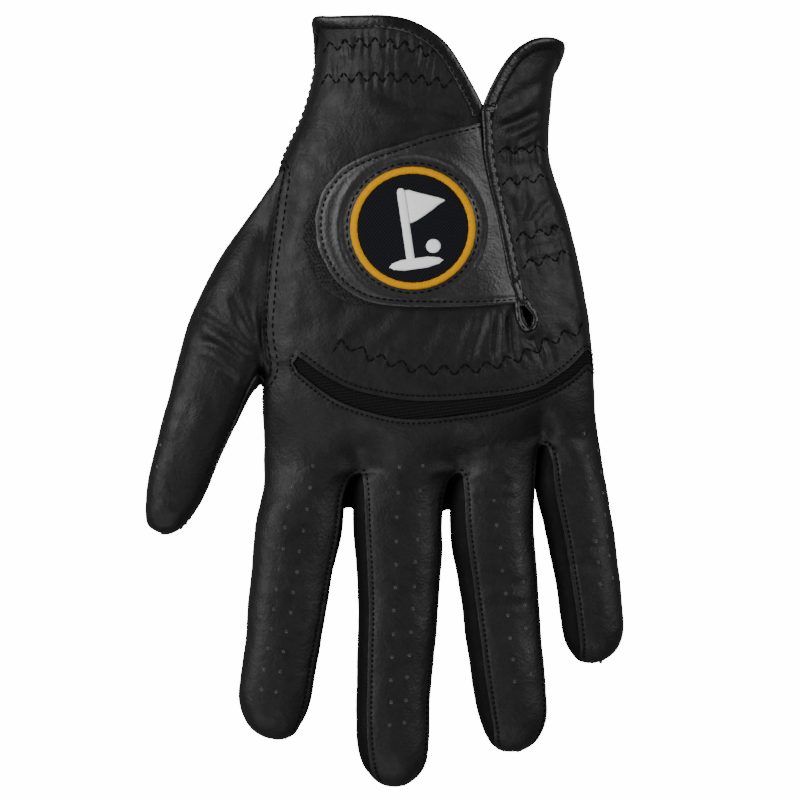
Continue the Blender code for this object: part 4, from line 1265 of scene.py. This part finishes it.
def sweep(path, facing, profile, scale=None):
    """A tube of the profile (sideways, outward) along a path; scale widens it along the way."""
    scale = np.ones((len(path), 2)) if scale is None else scale
    rings = []
    for point, side, up, (wide, tall) in zip(path, sideways(path, facing), facing, scale):
        rings.append([point + side * a * wide + up * b * tall for a, b in profile])
    return np.vstack(rings), tube_faces(len(path), len(profile))


def round_profile(radius, sides):
    return [(radius * cos(2 * pi * i / sides), radius * sin(2 * pi * i / sides)) for i in range(sides)]


def add_thread(heap, start, end, facing, radius=0.24, rise=0.16, sink=0.16):
    """One stitch: a short thread that dives into the leather at both ends."""
    share = np.array([0.0, 0.18, 0.5, 0.82, 1.0])
    path = start + (end - start) * share[:, None]
    path = path + facing * np.array([-sink, 0.6 * rise, rise, 0.6 * rise, -sink])[:, None]
    thick = np.array([0.62, 0.95, 1.0, 0.95, 0.62])
    scale = np.stack([thick, thick], axis=1)
    heap.add(*sweep(path, np.tile(facing, (5, 1)), round_profile(radius, 6), scale))


def add_row(heap, path, facings, gap, radius, rise):
    """A stitch between every two points of a path, a gap short of each."""
    for a, b, facing in zip(path, path[1:], facings):
        add_thread(heap, lerp(a, b, gap), lerp(a, b, 1 - gap), facing, radius, rise, rise)


STITCH_SHARE = 0.68      # of the pitch, that a stitch shows
stitch_heaps = {}
hole_heaps = {}


def heap_in(heaps, key):
    """The heap under this key, made when first asked for."""
    return heaps.setdefault(key, Heap())


def sew(line, pitch, where):
    """Stitches end to end along a line that lies on a family of panels."""
    line = resample(line, pitch)
    for a, b in zip(line, line[1:]):
        middle, facing, label = where.nearest((a + b) / 2)
        if from_tips(middle) < TIP_CLEAR:
            continue
        half = (b - a) * STITCH_SHARE / 2
        add_thread(heap_in(stitch_heaps, group_of(label)), middle - half, middle + half, facing)


def smooth_chain(line, passes=4):
    """The line evened out, with its ends kept."""
    for _ in range(passes):
        line = line.copy()
        line[1:-1] = (line[:-2] + 2 * line[1:-1] + line[2:]) / 4
    return line


def seam_lines(pair, over, inset):
    """The seam between two panels, moved inset mm into the upper one."""
    edges = seams[pair]
    which = pair.index(over)
    lines = []
    for chain in chains([(a, b) for a, b, _ in edges]):
        if len(chain) < 8:
            continue
        line = skin[chain]
        aside = sideways(line, normals[chain])
        middles = {}
        for a, b, faces in edges:
            middles[a] = middles[b] = faces[which]
        lean = sum(float(np.dot(aside[i], middles[v] - skin[v])) for i, v in enumerate(chain))
        lines.append(smooth_chain(line + aside * inset * math.copysign(1, lean)))
    return lines


def sew_seams():
    """One row of stitches along each seam, and two where the thumb meets the hand."""
    for pair in seams:
        kinds = {FAMILY[name] for name in pair}
        over = next((name for name in pair if FAMILY[name] == "trank"), pair[0])
        if kinds in ({"trank", "sides"}, {"trank", "insert"}):
            rows, pitch = (STITCH_INSET,), 1.6
        elif kinds == {"thumb"}:
            rows, pitch = (1.2,), 1.9
        else:
            rows, pitch = (1.0, 3.4), 2.3
        for inset in rows:
            for line in seam_lines(pair, over, inset):
                sew(line, pitch, families[FAMILY[over]])


def zigzag(points, period, half):
    """The corner points of a zigzag row, laid over the leather."""
    line = resample(curve(points), period / 2)
    tangent = unit(np.gradient(line, axis=0))
    across = np.stack([-tangent[:, 1], tangent[:, 0]], axis=1)
    turn = np.where(np.arange(len(line)) % 2, 1, -1)[:, None]
    return line + across * half * turn


def sew_zigzags():
    """Zigzag rows that hold the elastics inside: each arm is two stitches."""
    for points, period, half in ZIGZAGS.values():
        corners = zigzag(points, period, half)
        for a, b in zip(corners, corners[1:]):
            for t in (0.0, 0.5):
                start, end = (trank.under(*lerp(a, b, t + place))[0] for place in (0.04, 0.46))
                _, facing, label = trank.nearest((start + end) / 2)
                add_thread(heap_in(stitch_heaps, group_of(label)), start, end, facing, 0.25, 0.14, 0.1)


HOLES = {    # the columns of holes on each finger as (first, last, how many)
    "index": [((-39.6, -41), (-49.8, -109.5), 12), ((-33.9, -41.5), (-45.2, -110.5), 12)],
    "middle": [((-7.8, -42), (-10.8, -120.5), 12), ((-0.8, -41.5), (-6.2, -120), 12)],
    "ring": [((21.3, -52), (27.6, -107.5), 9), ((27.8, -47.5), (32.0, -105), 9)],
    "little": [((48.6, -31.5), (53.8, -77.5), 8), ((52.3, -30), (57.2, -75.5), 8)],
    "thumb": [((-80.0, -28.0), (-81.6, -42.0), 3)],
}
HOLE_SIDES = 12
HOLE_RINGS = ((0.62, -0.10), (0.50, 0.06), (0.40, 0.07), (0.34, -0.02))   # radius and rise, inwards


def add_hole(place, facing, label):
    """A punched hole: a slightly raised lip in a paler leather that paints its highlight, round a cup
    painted near-black for the shade inside the hole.
    """
    side = unit(np.cross(facing, (0.0, 1.0, 0.1)))
    along = np.cross(side, facing)
    rings = []
    for radius, rise in HOLE_RINGS:
        circle = round_profile(radius, HOLE_SIDES)
        rings.append([place + side * a + along * 1.12 * b + facing * rise for a, b in circle])
    group = group_of(label)
    heap_in(hole_heaps, ("rim", group)).add(np.vstack(rings), tube_faces(len(rings), HOLE_SIDES, True))
    cup = np.vstack([rings[2], rings[3], rings[3] - facing * 0.25])
    heap_in(hole_heaps, ("pit", group)).add(cup - facing * 0.03, tube_faces(3, HOLE_SIDES))


def punch_holes():
    """The columns of punched holes on the fingers and thumb, each hole a little out of line."""
    for name, columns in HOLES.items():
        family = thumb if name == "thumb" else trank
        for first, last, count in columns:
            for i in range(count):
                t = i / (count - 1)
                sway = rng.uniform(-0.25, 0.25, 2)
                x = lerp(first[0], last[0], t) + sway[0]
                y = lerp(first[1], last[1], t ** 0.97) + sway[1]
                add_hole(*family.under(x, y))


WELT_TOP = -14.0         # the piping runs out below the web, where the two leathers close up


def make_thumb_welt():
    """The thin piping that shows along the thumb's inner seam, in a paler leather that paints its highlight.
    """
    for part in ("base", "tip"):
        welt = Heap()
        for line in seam_lines((f"thumb_{part}_back", f"thumb_{part}_palm"), f"thumb_{part}_back", 0.0):
            spots = [thumb.nearest(p) for p in line if p[1] < WELT_TOP]
            if len(spots) < 4:
                continue
            path = np.array([spot for spot, _, _ in spots])
            facing = unit(smooth_chain(np.array([up for _, up, _ in spots]), 6))
            welt.add(*sweep(smooth_chain(path + facing * 0.12, 4), facing, round_profile(0.42, 8)))
        welt.piece(f"thumb_{part}_welt", pale_highlight_leather, "leather", f"thumb_{part}")


make_thumb_welt()
sew_seams()
sew_zigzags()
punch_holes()
for key, heap in stitch_heaps.items():
    heap.piece(key + "_stitches", black_thread, "leather", key)
# Hole lips in the paler leather of painted highlight, cups in the near-black of painted shade.
for (kind, group), heap in hole_heaps.items():
    heap.piece(f"{group}_hole_{kind}s", pale_highlight_leather if kind == "rim" else hole_shade_paint, "leather", group)

# ---------------------------------------------------------------- cuff and slit bindings
# Each profile is (sideways, outward), anticlockwise seen along the path
ROLLED = [(-3.3, -0.75), (-3.1, -1.2), (-0.8, -1.4), (0.2, -1.25), (0.75, -0.75), (0.85, 0.0), (0.35, 0.52),
          (-0.5, 0.72), (-1.9, 0.62), (-3.1, 0.42), (-3.3, 0.05)]
STRIP = [(-1.4, -0.2), (1.5, -1.1), (1.75, -0.2), (1.25, 0.62), (0.4, 0.86), (-0.6, 0.9), (-1.3, 0.62),
         (-1.6, 0.1)]
SLIT_STRIP = [(17.9, 69.0), (18.5, 60), (19.0, 52), (20.8, 42.7), (23.9, 29.3), (26.9, 15.0), (28.4, 10.4),
              (31.0, 7.0), (33.0, 4.0), (32.6, 1.0), (30.5, 0.0), (28.5, 2.2), (27.8, 5.4), (27.6, 8.8)]
LOOP_STARTS = 0.72       # how far down the strip it narrows into its loop


def on_slit(place):
    """Whether a point of the open edge is on the slit, below the end of the cuff's binding."""
    return place[1] < 64.2 and place[2] > 14 and abs(place[0] - slit_x(place[1])) < 3


def make_cuff_binding():
    """Leather rolled over the open edge of the cuff in three runs, with a row of stitches."""
    loop = max(chains(open_edges), key=len)[:-1]
    slit = [on_slit(trank.points[v]) for v in loop]
    start = next(i for i in range(len(loop)) if slit[i - 1] and not slit[i])
    loop = [v for v in loop[start:] + loop[:start] if not on_slit(trank.points[v])]
    line = smooth_chain(trank.points[loop], 5)
    facing = unit(smooth_chain(trank.normals[loop], 12))
    aside = sideways(line, facing)
    flip = math.copysign(1, aside[:, 1].sum())
    profile = [(a * flip, b) for a, b in ROLLED]
    if flip < 0:
        profile = profile[::-1]
    cuts = sorted((int(line[:, 0].argmin()), int(line[:, 0].argmax())))
    bounds = [0, *cuts, len(line) - 1]
    stitched = line - aside * flip * 2.5 + facing * 0.42
    threads = Heap()
    for first, last in zip(bounds, bounds[1:]):
        run = slice(first, last + 1)
        middle = line[run].mean(0)
        side = "palm" if middle[2] < 15 else "thumb_side" if middle[0] < slit_x(67) else "outer_side"
        points, faces = sweep(line[run], facing[run], profile)
        make_piece("cuff_binding_roll_" + side, points, faces, [binding_leather], body="hand",
                   stands_for=["cuff_binding_" + side])
        path = resample(np.hstack([stitched[run], facing[run]]), 2.1)
        add_row(threads, path[:, :3], unit(path[:, 3:]), 0.16, 0.2, 0.12)
    threads.piece("cuff_binding_stitches", black_thread, "binding", body="hand")


def over_skin(xy, rise):
    """Points over the smooth skin at a plan line, and the directions it faces there."""
    spots, facings = [], []
    for x, y in xy:
        spot, facing, _, _ = smooth_tree.ray_cast(Vector((x, y, 90.0)), Vector((0, 0, -1)))
        if spot is None or spot.z < 20:
            spot, facing, _, _ = smooth_tree.find_nearest(Vector((x, y, 28.0)))
        spots.append(spot + facing * rise)
        facings.append(facing)
    spots, facings = np.array(spots), np.array(facings)
    for _ in range(6):
        spots[1:-1, 2] = (spots[:-2, 2] + 2 * spots[1:-1, 2] + spots[2:, 2]) / 4
        facings[1:-1] = (facings[:-2] + 2 * facings[1:-1] + facings[2:]) / 4
    return spots, unit(facings)


def make_slit_binding():
    """The strip down the slit's outer edge, which ends in a small loop round the slit's foot."""
    line, facing = over_skin(curve(SLIT_STRIP, 0.6), 0.95)
    share = np.linspace(0, 1, len(line))
    thin = np.clip((share - LOOP_STARTS) / 0.06, 0, 1)
    swell = np.clip(share / 0.035, 0.4, 1) * (1 + 0.05 * noise_at(line, 5.0))
    scale = np.stack([1 - 0.42 * thin, 1 - 0.15 * thin], axis=1) * swell[:, None]
    points, faces = sweep(line, facing, STRIP, scale)
    make_piece("slit_strip", points, faces, [binding_leather], body="hand",
               stands_for=["slit_binding", "slit_end_loop"])
    inset = (1.05 - 0.55 * thin)[:, None]
    path = resample(np.hstack([line + sideways(line, facing) * inset + facing * 0.62, facing]), 2.9)
    threads = Heap()
    add_row(threads, path[:, :3], unit(path[:, 3:]), 0.2, 0.24, 0.14)
    # The slit strip's stitches use the grey thread of painted sheen.
    threads.piece("slit_strip_stitches", grey_thread_painted_sheen, "binding", body="hand")


make_cuff_binding()
make_slit_binding()

# ---------------------------------------------------------------- closure tab, pads and patch
TAB_RIM = [(18.0, 62.7), (2.0, 58.9), (-8.0, 55.7), (-15.5, 53.2), (-21.7, 50.4), (-26.4, 47.0),
           (-30.2, 42.0), (-32.2, 36.5), (-32.7, 30.0), (-31.5, 23.6), (-28.6, 17.4), (-24.1, 12.4),
           (-17.5, 8.6), (-8.0, 7.0), (6.0, 6.7), (20.0, 7.2), (30.2, 8.1)]
PAD_RIM = [(-8, 47.5), (-20, 47.2), (-27.2, 44.6), (-32.8, 39.2), (-36.2, 32.6), (-36.9, 26.4),
           (-35.4, 20.0), (-31.4, 13.6), (-25.6, 9.2), (-19.0, 7.6), (-8, 9.4)]
PATCH_CENTRE = np.array((-3.7, 30.6))
PATCH_R = 18.5
PATCH_RING_W = 2.15
PAD_CENTRE = np.array((-16.0, 28.0))
TAB_RISE = 2.7           # top of the tab over the back
TAB_DIP = 1.75           # how much lower it starts, under the slit binding
TAB_THICK = 1.0
LINING_THICK = 0.35
HOOK_THICK = 0.45
LOOP_PITCH, HOOK_PITCH = 1.12, 1.5
TAB_STITCH_INSET = 1.75
EMBOSS_R = 22.4          # the line pressed into the tab round the patch
PATCH_STITCH_R = 19.6


def circle_points(centre, radius, turn):
    return centre + radius * np.stack([np.cos(turn), np.sin(turn)], axis=1)


def closed_rim(points):
    """A closed outline: a smooth line through the points, shut by a straight line."""
    line = curve(points, 0.7)
    return np.vstack([line, resample(np.array([line[-1], line[0]]), 0.7)[1:-1]])


def fan_grid(rim, centre, steps, spokes):
    """A grid of spokes from the centre to the rim, and each point's distance to the rim."""
    offset = rim - centre
    turn = np.unwrap(np.arctan2(offset[:, 1], offset[:, 0])) % (2 * pi)
    order = np.argsort(turn)
    turn, reach = turn[order], np.linalg.norm(offset, axis=1)[order]
    angles = np.arange(spokes) * 2 * pi / spokes
    jumps = np.abs(np.diff(np.arctan2(*np.diff(np.vstack([rim, rim[:1]]), axis=0).T)))
    for corner in offset[[0, int(np.argmax(jumps[5:-5])) + 6]]:
        angle = math.atan2(corner[1], corner[0]) % (2 * pi)
        angles[int(np.abs(angles - angle).argmin())] = angle
    radius = np.interp(angles, turn, reach, period=2 * pi)
    share = np.concatenate([np.linspace(0, 1, steps)[1:-1], 1 - np.array([0.4, 0.14, 0.0]) / 26])
    spoke = np.stack([np.cos(angles), np.sin(angles)], axis=1)
    flat = (centre + (share[:, None, None] * radius[None, :, None]) * spoke).reshape(-1, 2)
    edge = np.array([np.sqrt(((rim - p) ** 2).sum(1).min()) for p in flat])
    return flat, edge, len(share)


def fan_faces(rows, spokes):
    """Faces of a fan grid whose centre point comes last."""
    faces = []
    for r in range(rows - 1):
        for i in range(spokes):
            a, b, k = r * spokes, (r + 1) * spokes, (i + 1) % spokes
            faces.append([a + i, b + i, b + k, a + k])
    middle = rows * spokes
    return faces + [[middle, i, (i + 1) % spokes] for i in range(spokes)]


def make_fan(name, rim, centre, steps, spokes, top, bottom, look, body=None, stands_for=(),
             crest_wear_and_highlight=None):
    """A closed layer over the back of the hand, in the tab's group unless it has a body of its own.

    top and bottom give heights from plan points and their distances to the rim.
    """
    flat, edge, rows = fan_grid(rim, centre, steps, spokes)
    flat, edge = np.vstack([flat, centre]), np.append(edge, edge.max())
    base, facing = over_skin_even(flat)
    upper, lower = (base + facing * height(flat, edge)[:, None] for height in (top, bottom))
    total = len(flat)
    faces = fan_faces(rows, spokes)
    under = [[i + total for i in face[::-1]] for face in faces]
    last = (rows - 1) * spokes + np.arange(spokes + 1) % spokes
    wall = [[i, i + total, k + total, k] for i, k in zip(last.tolist(), last[1:].tolist())]
    # Painted highlight and wear: how much lighter each point of the layer is.
    edge_lightening = np.zeros(total) if crest_wear_and_highlight is None else crest_wear_and_highlight(flat, edge)
    layers = {"painted_crease_shade": np.zeros(2 * total), "crest_wear_and_highlight": np.tile(edge_lightening, 2)}
    make_piece(name, np.vstack([upper, lower]), faces + under + wall, [look],
               group=None if body else "tab", body=body, stands_for=stands_for, layers=layers)


def cubic_terms(x, y):
    """Every product of x and y up to the third power."""
    return np.stack([np.ones_like(x), x, y, x * x, x * y, y * y,
                     x ** 3, x * x * y, x * y * y, y ** 3], axis=1)


def over_skin_even(flat):
    """The back's height and facing under plan points, from a smooth fit so that layers lie flat."""
    x, y = flat[:, 0] / FIT_UNIT, flat[:, 1] / FIT_UNIT
    step = 0.01
    z, east, north = (cubic_terms(x + a, y + b) @ BACK_FIT for a, b in ((0, 0), (step, 0), (0, step)))
    run = FIT_UNIT * step
    facing = unit(np.stack([(z - east) / run, (z - north) / run, np.ones_like(x)], axis=1))
    return np.column_stack([flat, z]), facing


def fit_back():
    """Cubic in (x, y) through the back of the hand where the closure lies."""
    chosen = (np.abs(skin[:, 0] + 6) < 36) & (skin[:, 1] > 3) & (skin[:, 1] < 66) & (normals[:, 2] > 0.6)
    p = skin[chosen]
    return np.linalg.lstsq(cubic_terms(p[:, 0] / FIT_UNIT, p[:, 1] / FIT_UNIT), p[:, 2], rcond=None)[0]


FIT_UNIT = 40.0
BACK_FIT = fit_back()
hinge_place, hinge_axis = (Vector(JOINTS["tab_open"][key]) for key in ("pos_m", "axis"))
hinge_out = Vector((-hinge_axis.y, hinge_axis.x, 0)).normalized()
BENDS["tab"] = ("hand", "closure_tab", hinge_place - hinge_out * MM, hinge_place + hinge_out * 6.5 * MM)


def from_patch(flat):
    """Distances from the middle of the patch."""
    return np.linalg.norm(flat - PATCH_CENTRE, axis=1)


def to_hinge(flat):
    """How far each plan point is from the hinge line, on the tab's side."""
    return (flat / 1000 - np.array(hinge_place.xy)) @ np.array(hinge_out.xy) * 1000


def tab_level(flat):
    """Height of the tab's smooth top, which dips toward its sewn edge."""
    return TAB_RISE - TAB_DIP * (1 - np.clip((to_hinge(flat) + 1.5) / 11, 0, 1)) ** 2


def tab_top(flat, edge):
    """The tab's top: an embossed line, stitch grooves, a rounded edge and small lumps."""
    r = from_patch(flat)
    inner = np.clip((edge - 2.2) / 2, 0, 1)
    shape = 0.42 * ridge(r, EMBOSS_R, 0.85) * inner - 0.26 * ridge(r, EMBOSS_R - 1.6, 0.6) * inner
    shape -= 0.2 * ridge(r, PATCH_STITCH_R, 0.5) + 0.24 * ridge(edge, TAB_STITCH_INSET, 0.5)
    shape += 0.10 * ridge(edge, 3.1, 0.8)
    round_off = 0.62 * (1 - np.sqrt(1 - (1 - np.clip(edge, 0, 1)) ** 2))
    lumps = noise_at(np.column_stack([flat, r * 0]), 9.0, 2, (1, 1, 1), 4.0)
    return tab_level(flat) + shape - round_off + 0.12 * lumps


def tab_under(flat, edge):
    """The underside of the tab's leather, cut a little slanted at the edge."""
    return tab_level(flat) - TAB_THICK + 0.15 * (1 - np.clip(edge / 0.6, 0, 1))


def offset_under(depth):
    """Heights this far below the tab's underside."""
    return lambda flat, edge: tab_under(flat, edge) - depth


def shrink(rim, amount, centre):
    """The outline moved inward by this many mm, toward a centre."""
    offset = rim - centre
    length = np.linalg.norm(offset, axis=1, keepdims=True)
    return centre + offset * (1 - amount / length)


def hooked(point):
    """Whether a plan point is on the tab's hook pad."""
    return to_hinge(np.array([point]))[0] > 12


def make_tab():
    """The closure tab: its leather, its lining and its two rows of stitches."""
    rim = closed_rim(TAB_RIM)
    # The tab's leather is the lighter copy that paints its light, and its rim is painted lighter still as
    # highlight and wear.
    make_fan("tab_outer", rim, PATCH_CENTRE, 46, 240, tab_top, tab_under, tab_leather,
             stands_for=["tab_leather"], crest_wear_and_highlight=lambda flat, edge: 0.35 * ridge(edge, 0.5, 0.5))
    make_fan("tab_inner", shrink(rim, 1.0, PATCH_CENTRE), PATCH_CENTRE, 20, 120, offset_under(0.03),
             offset_under(0.03 + LINING_THICK), suede, stands_for=["tab_lining"])
    threads = Heap()
    edge_row = shrink(curve(TAB_RIM, 0.5), TAB_STITCH_INSET, PATCH_CENTRE)
    patch_row = circle_points(PATCH_CENTRE, PATCH_STITCH_R, np.linspace(0, 2 * pi, 120))
    for line, pitch, edge in ((edge_row, 2.0, TAB_STITCH_INSET), (patch_row, 2.25, 6.0)):
        line = resample(line, pitch)
        base, facing = over_skin_even(line)
        height = tab_top(line, np.full(len(line), edge)) + 0.05
        add_row(threads, base + facing * height[:, None], facing, 0.16, 0.23, 0.14)
    threads.piece("tab_stitches", black_thread, "leather", "tab")


def make_pads():
    """Loop pad on the back of the hand and hook pad under the tab, with their loops and hooks."""
    rim = closed_rim(PAD_RIM)
    make_fan("loop_pad_base", rim, PAD_CENTRE, 22, 120,
             lambda flat, edge: 0.75 - 0.3 * (1 - np.clip(edge, 0, 1)),
             lambda flat, edge: np.full(len(flat), -0.1), loop_nylon, "hand", ["loop_pad"])
    loops = Heap()
    for i in range(int(46 / LOOP_PITCH)):
        for k in range(int(44 / LOOP_PITCH)):
            x = -37.5 + LOOP_PITCH * i + 0.5 * LOOP_PITCH * (k % 2) + rng.uniform(-0.16, 0.16)
            y = 6.5 + LOOP_PITCH * k + rng.uniform(-0.16, 0.16)
            if inside(rim, x, y):
                base, facing = over_skin_even(np.array([[x, y]]))
                turn, height = rng.uniform(0, pi), rng.uniform(0.55, 0.85)
                add_loop(loops, base[0] + facing[0] * 0.68, turn, 0.44, height, 0.16)
    loops.piece("loop_pad_loops", loop_nylon, "loop", body="hand")
    hook_centre = PATCH_CENTRE - (8, 0)
    hook_rim = shrink(closed_rim([p for p in TAB_RIM if hooked(p)]), 4.0, hook_centre)
    depth = 0.05 + LINING_THICK
    make_fan("hook_pad_base", hook_rim, hook_centre, 18, 100, offset_under(depth),
             offset_under(depth + HOOK_THICK), hook_nylon, "closure_tab", ["hook_pad"])
    hooks = Heap()
    for i in range(int(50 / HOOK_PITCH)):
        for k in range(int(50 / HOOK_PITCH)):
            x, y = -33 + HOOK_PITCH * i, 6 + HOOK_PITCH * k
            if inside(hook_rim, x, y):
                flat = np.array([[x, y]])
                base, facing = over_skin_even(flat)
                height = offset_under(depth + HOOK_THICK)(flat, np.array([5.0]))[0]
                add_loop(hooks, base[0] + facing[0] * (height + 0.05), pi / 2, 0.3, -0.45, 0.11)
    hooks.piece("hook_pad_hooks", hook_nylon, "hook", body="closure_tab")


def inside(rim, x, y):
    """Whether a plan point is inside an outline."""
    a, b = rim, np.roll(rim, -1, axis=0)
    crossing = (a[:, 1] > y) != (b[:, 1] > y)
    with np.errstate(divide="ignore", invalid="ignore"):
        at = a[:, 0] + (y - a[:, 1]) * (b[:, 0] - a[:, 0]) / (b[:, 1] - a[:, 1])
    return int((crossing & (x < at)).sum()) % 2 == 1


def add_loop(heap, foot, turn, half, height, radius):
    """A thread that stands up in an arch and goes back down."""
    along = np.array((cos(turn), sin(turn), 0.0))
    angles = np.linspace(0, pi, 5)
    path = np.array([foot - along * half * cos(a) + np.array((0, 0, height * sin(a))) for a in angles])
    aside = np.cross((0.0, 0.0, 1.0), along)
    rings = []
    for point, a in zip(path, angles):
        out = -along * cos(a) + np.array((0, 0, math.copysign(sin(a), height)))
        for q in range(4):
            rings.append(point + radius * (out * cos(q * pi / 2) + aside * sin(q * pi / 2)))
    heap.add(rings, tube_faces(5, 4))


def make_patch():
    """Round embroidered patch: twill ground, satin-stitched ring and a flag on its pin."""
    ground = circle_points(PATCH_CENTRE, PATCH_R - 0.9, np.linspace(0, 2 * pi, 90, endpoint=False))
    surface = TAB_RISE + 0.02
    make_fan("patch_ground", ground, PATCH_CENTRE, 24, 120,
             lambda flat, edge: surface + 0.34 + 0.1 * np.clip(edge / 8, 0, 1),
             lambda flat, edge: np.full(len(flat), surface - 0.3),
             twill, "closure_tab", ["patch_base"])
    make_patch_ring(surface)
    make_motif(surface + 0.40)


def make_patch_ring(surface):
    """The ring's threads lie across it, side by side."""
    threads, steps, around = 250, 4, 9
    rings = []
    for i in range(threads * steps):
        angle = 2 * pi * i / (threads * steps)
        swell = 1 + 0.10 * cos(2 * pi * i / steps) + 0.04 * sin(17 * angle)
        reach = PATCH_RING_W / 2 * (1 + 0.05 * cos(2 * pi * i / steps) + 0.03 * sin(41 * angle))
        for k in range(around):
            a = 2 * pi * k / around
            r = PATCH_R - PATCH_RING_W / 2 + reach * cos(a)
            rings.append((r * cos(angle), r * sin(angle), 0.62 * swell * sin(a)))
    rings = np.array(rings)
    base, facing = over_skin_even(PATCH_CENTRE + rings[:, :2])
    points = base + facing * (surface + 0.28 + rings[:, 2])[:, None]
    faces = [face[::-1] for face in tube_faces(threads * steps, around, closed=True)]
    make_piece("patch_edge_ring", points, faces, [gold_thread], body="closure_tab",
               stands_for=["patch_ring"])


MOTIF_TILT = radians(8)
# Each shape is rows of (height, left, right) in the patch's own turned frame
PIN = [(12.4, -2.5, -1.5), (11.9, -3.0, -1.0), (11.0, -3.2, -0.8), (-8.6, -3.2, -0.8), (-9.6, -3.2, -0.8)]
FLAG = [(height, -0.7, right) for height, right in (
    (11.6, 0.5), (10.6, 2.6), (9.4, 5.6), (8.2, 8.6), (7.3, 10.4), (6.9, 10.4), (6.0, 8.4), (4.6, 6.2),
    (3.2, 3.6), (2.2, 1.4), (1.7, 0.0))]
GROUND = [(-9.0, -5.0, 3.0), (-9.7, -7.6, 6.4), (-10.7, -8.6, 7.6), (-11.6, -7.4, 6.2), (-12.3, -4.4, 2.6)]
BALL_R = 2.1
BALL = [(BALL_R * cos(pi * i / 10) - 6.1, 5.2 - BALL_R * sin(pi * i / 10) - 0.05,
         5.2 + BALL_R * sin(pi * i / 10) + 0.05) for i in range(11)]


def add_satin(heap, rows, surface):
    """A padded shape of satin stitches that run from its left edge to its right one."""
    rows = sorted(rows)
    heights = np.array([row[0] for row in rows])
    pitch, steps, across = 0.34, 3, 9
    count = max(4, int((heights[-1] - heights[0]) / pitch)) * steps
    v = np.linspace(heights[0], heights[-1], count + 1)
    left = np.interp(v, heights, [row[1] for row in rows])
    right = np.interp(v, heights, [row[2] for row in rows])
    c = np.linspace(0, 1, across)
    thread = np.cos(2 * pi * np.arange(count + 1) / steps)
    reach = 0.09 * thread + rng.uniform(-0.04, 0.04, count + 1)
    u = (left - reach)[:, None] * (1 - c) + (right + reach)[:, None] * c
    puff = np.clip(1 - np.abs(2 * c - 1) ** 3, 0, 1) ** 0.5
    ends = np.clip(np.minimum(v - v[0], v[-1] - v) / 0.5, 0, 1) ** 0.5
    rise = 0.12 + (0.5 * puff)[None] * ends[:, None] + 0.045 * thread[:, None] * puff[None]
    x = u * cos(MOTIF_TILT) - v[:, None] * sin(MOTIF_TILT)
    y = u * sin(MOTIF_TILT) + v[:, None] * cos(MOTIF_TILT)
    flat = PATCH_CENTRE + np.stack([x.ravel(), y.ravel()], axis=1)
    base, facing = over_skin_even(flat)
    upper = base + facing * (surface + rise.ravel())[:, None]
    lower = base + facing * (surface - 0.25)
    heap.add(np.vstack([upper, lower]), shell(grid(count + 1, across), len(flat)).tolist())


def make_motif(surface):
    """A generic motif in satin stitch: a pin with its flag, a patch of ground and a ball."""
    motif = Heap()
    for rows in (PIN, FLAG, GROUND, BALL):
        add_satin(motif, rows, surface)
    motif.piece("patch_flag", white_thread, "white_thread", body="closure_tab", stands_for=["patch_motif"])


make_tab()
make_pads()
make_patch()

# ---------------------------------------------------------------- elastics sewn inside
ELASTICS = {    # start, end, width and how far the middle bows
    "cuff_elastic_upper": ((-27.0, 85.6), (-1.0, 84.6), 6.0, 0.6),
    "cuff_elastic_lower": ((-28.0, 75.8), (6.0, 74.2), 6.0, 0.4),
    "outer_elastic_upper": ((22.5, 50.0), (33.0, 49.5), 12.0, 0.0),
    "outer_elastic_lower": ((28.0, 24.0), (40.0, 24.0), 11.0, 0.0),
    "knuckle_elastic": ((-26.0, -4.5), (43.0, -2.0), 6.0, -9.5),
}


def make_elastics():
    """Ribbed elastic tapes against the inner face of the back."""
    for name, (start, end, width, bow) in ELASTICS.items():
        length = math.dist(start, end)
        columns, rows = int(length / 0.7), 9
        upper, lower = [], []
        for i in range(columns + 1):
            t = i / columns
            x, y = lerp(start[0], end[0], t), lerp(start[1], end[1], t) + bow * sin(pi * t)
            rib = 0.12 * cos(2 * pi * t * length / 2.1)
            for k in range(rows + 1):
                spot, facing, _ = trank.under(x, y + width * (k / rows - 0.5))
                upper.append(spot - facing * (LEATHER + 0.12))
                lower.append(spot - facing * (LEATHER + 0.62 + rib))
        faces = shell(grid(columns + 1, rows + 1)[:, [0, 3, 2, 1]], len(upper))
        make_piece(name + "_tape", upper + lower, faces, [elastic_web], "hand",
                   stands_for=[name])


make_elastics()
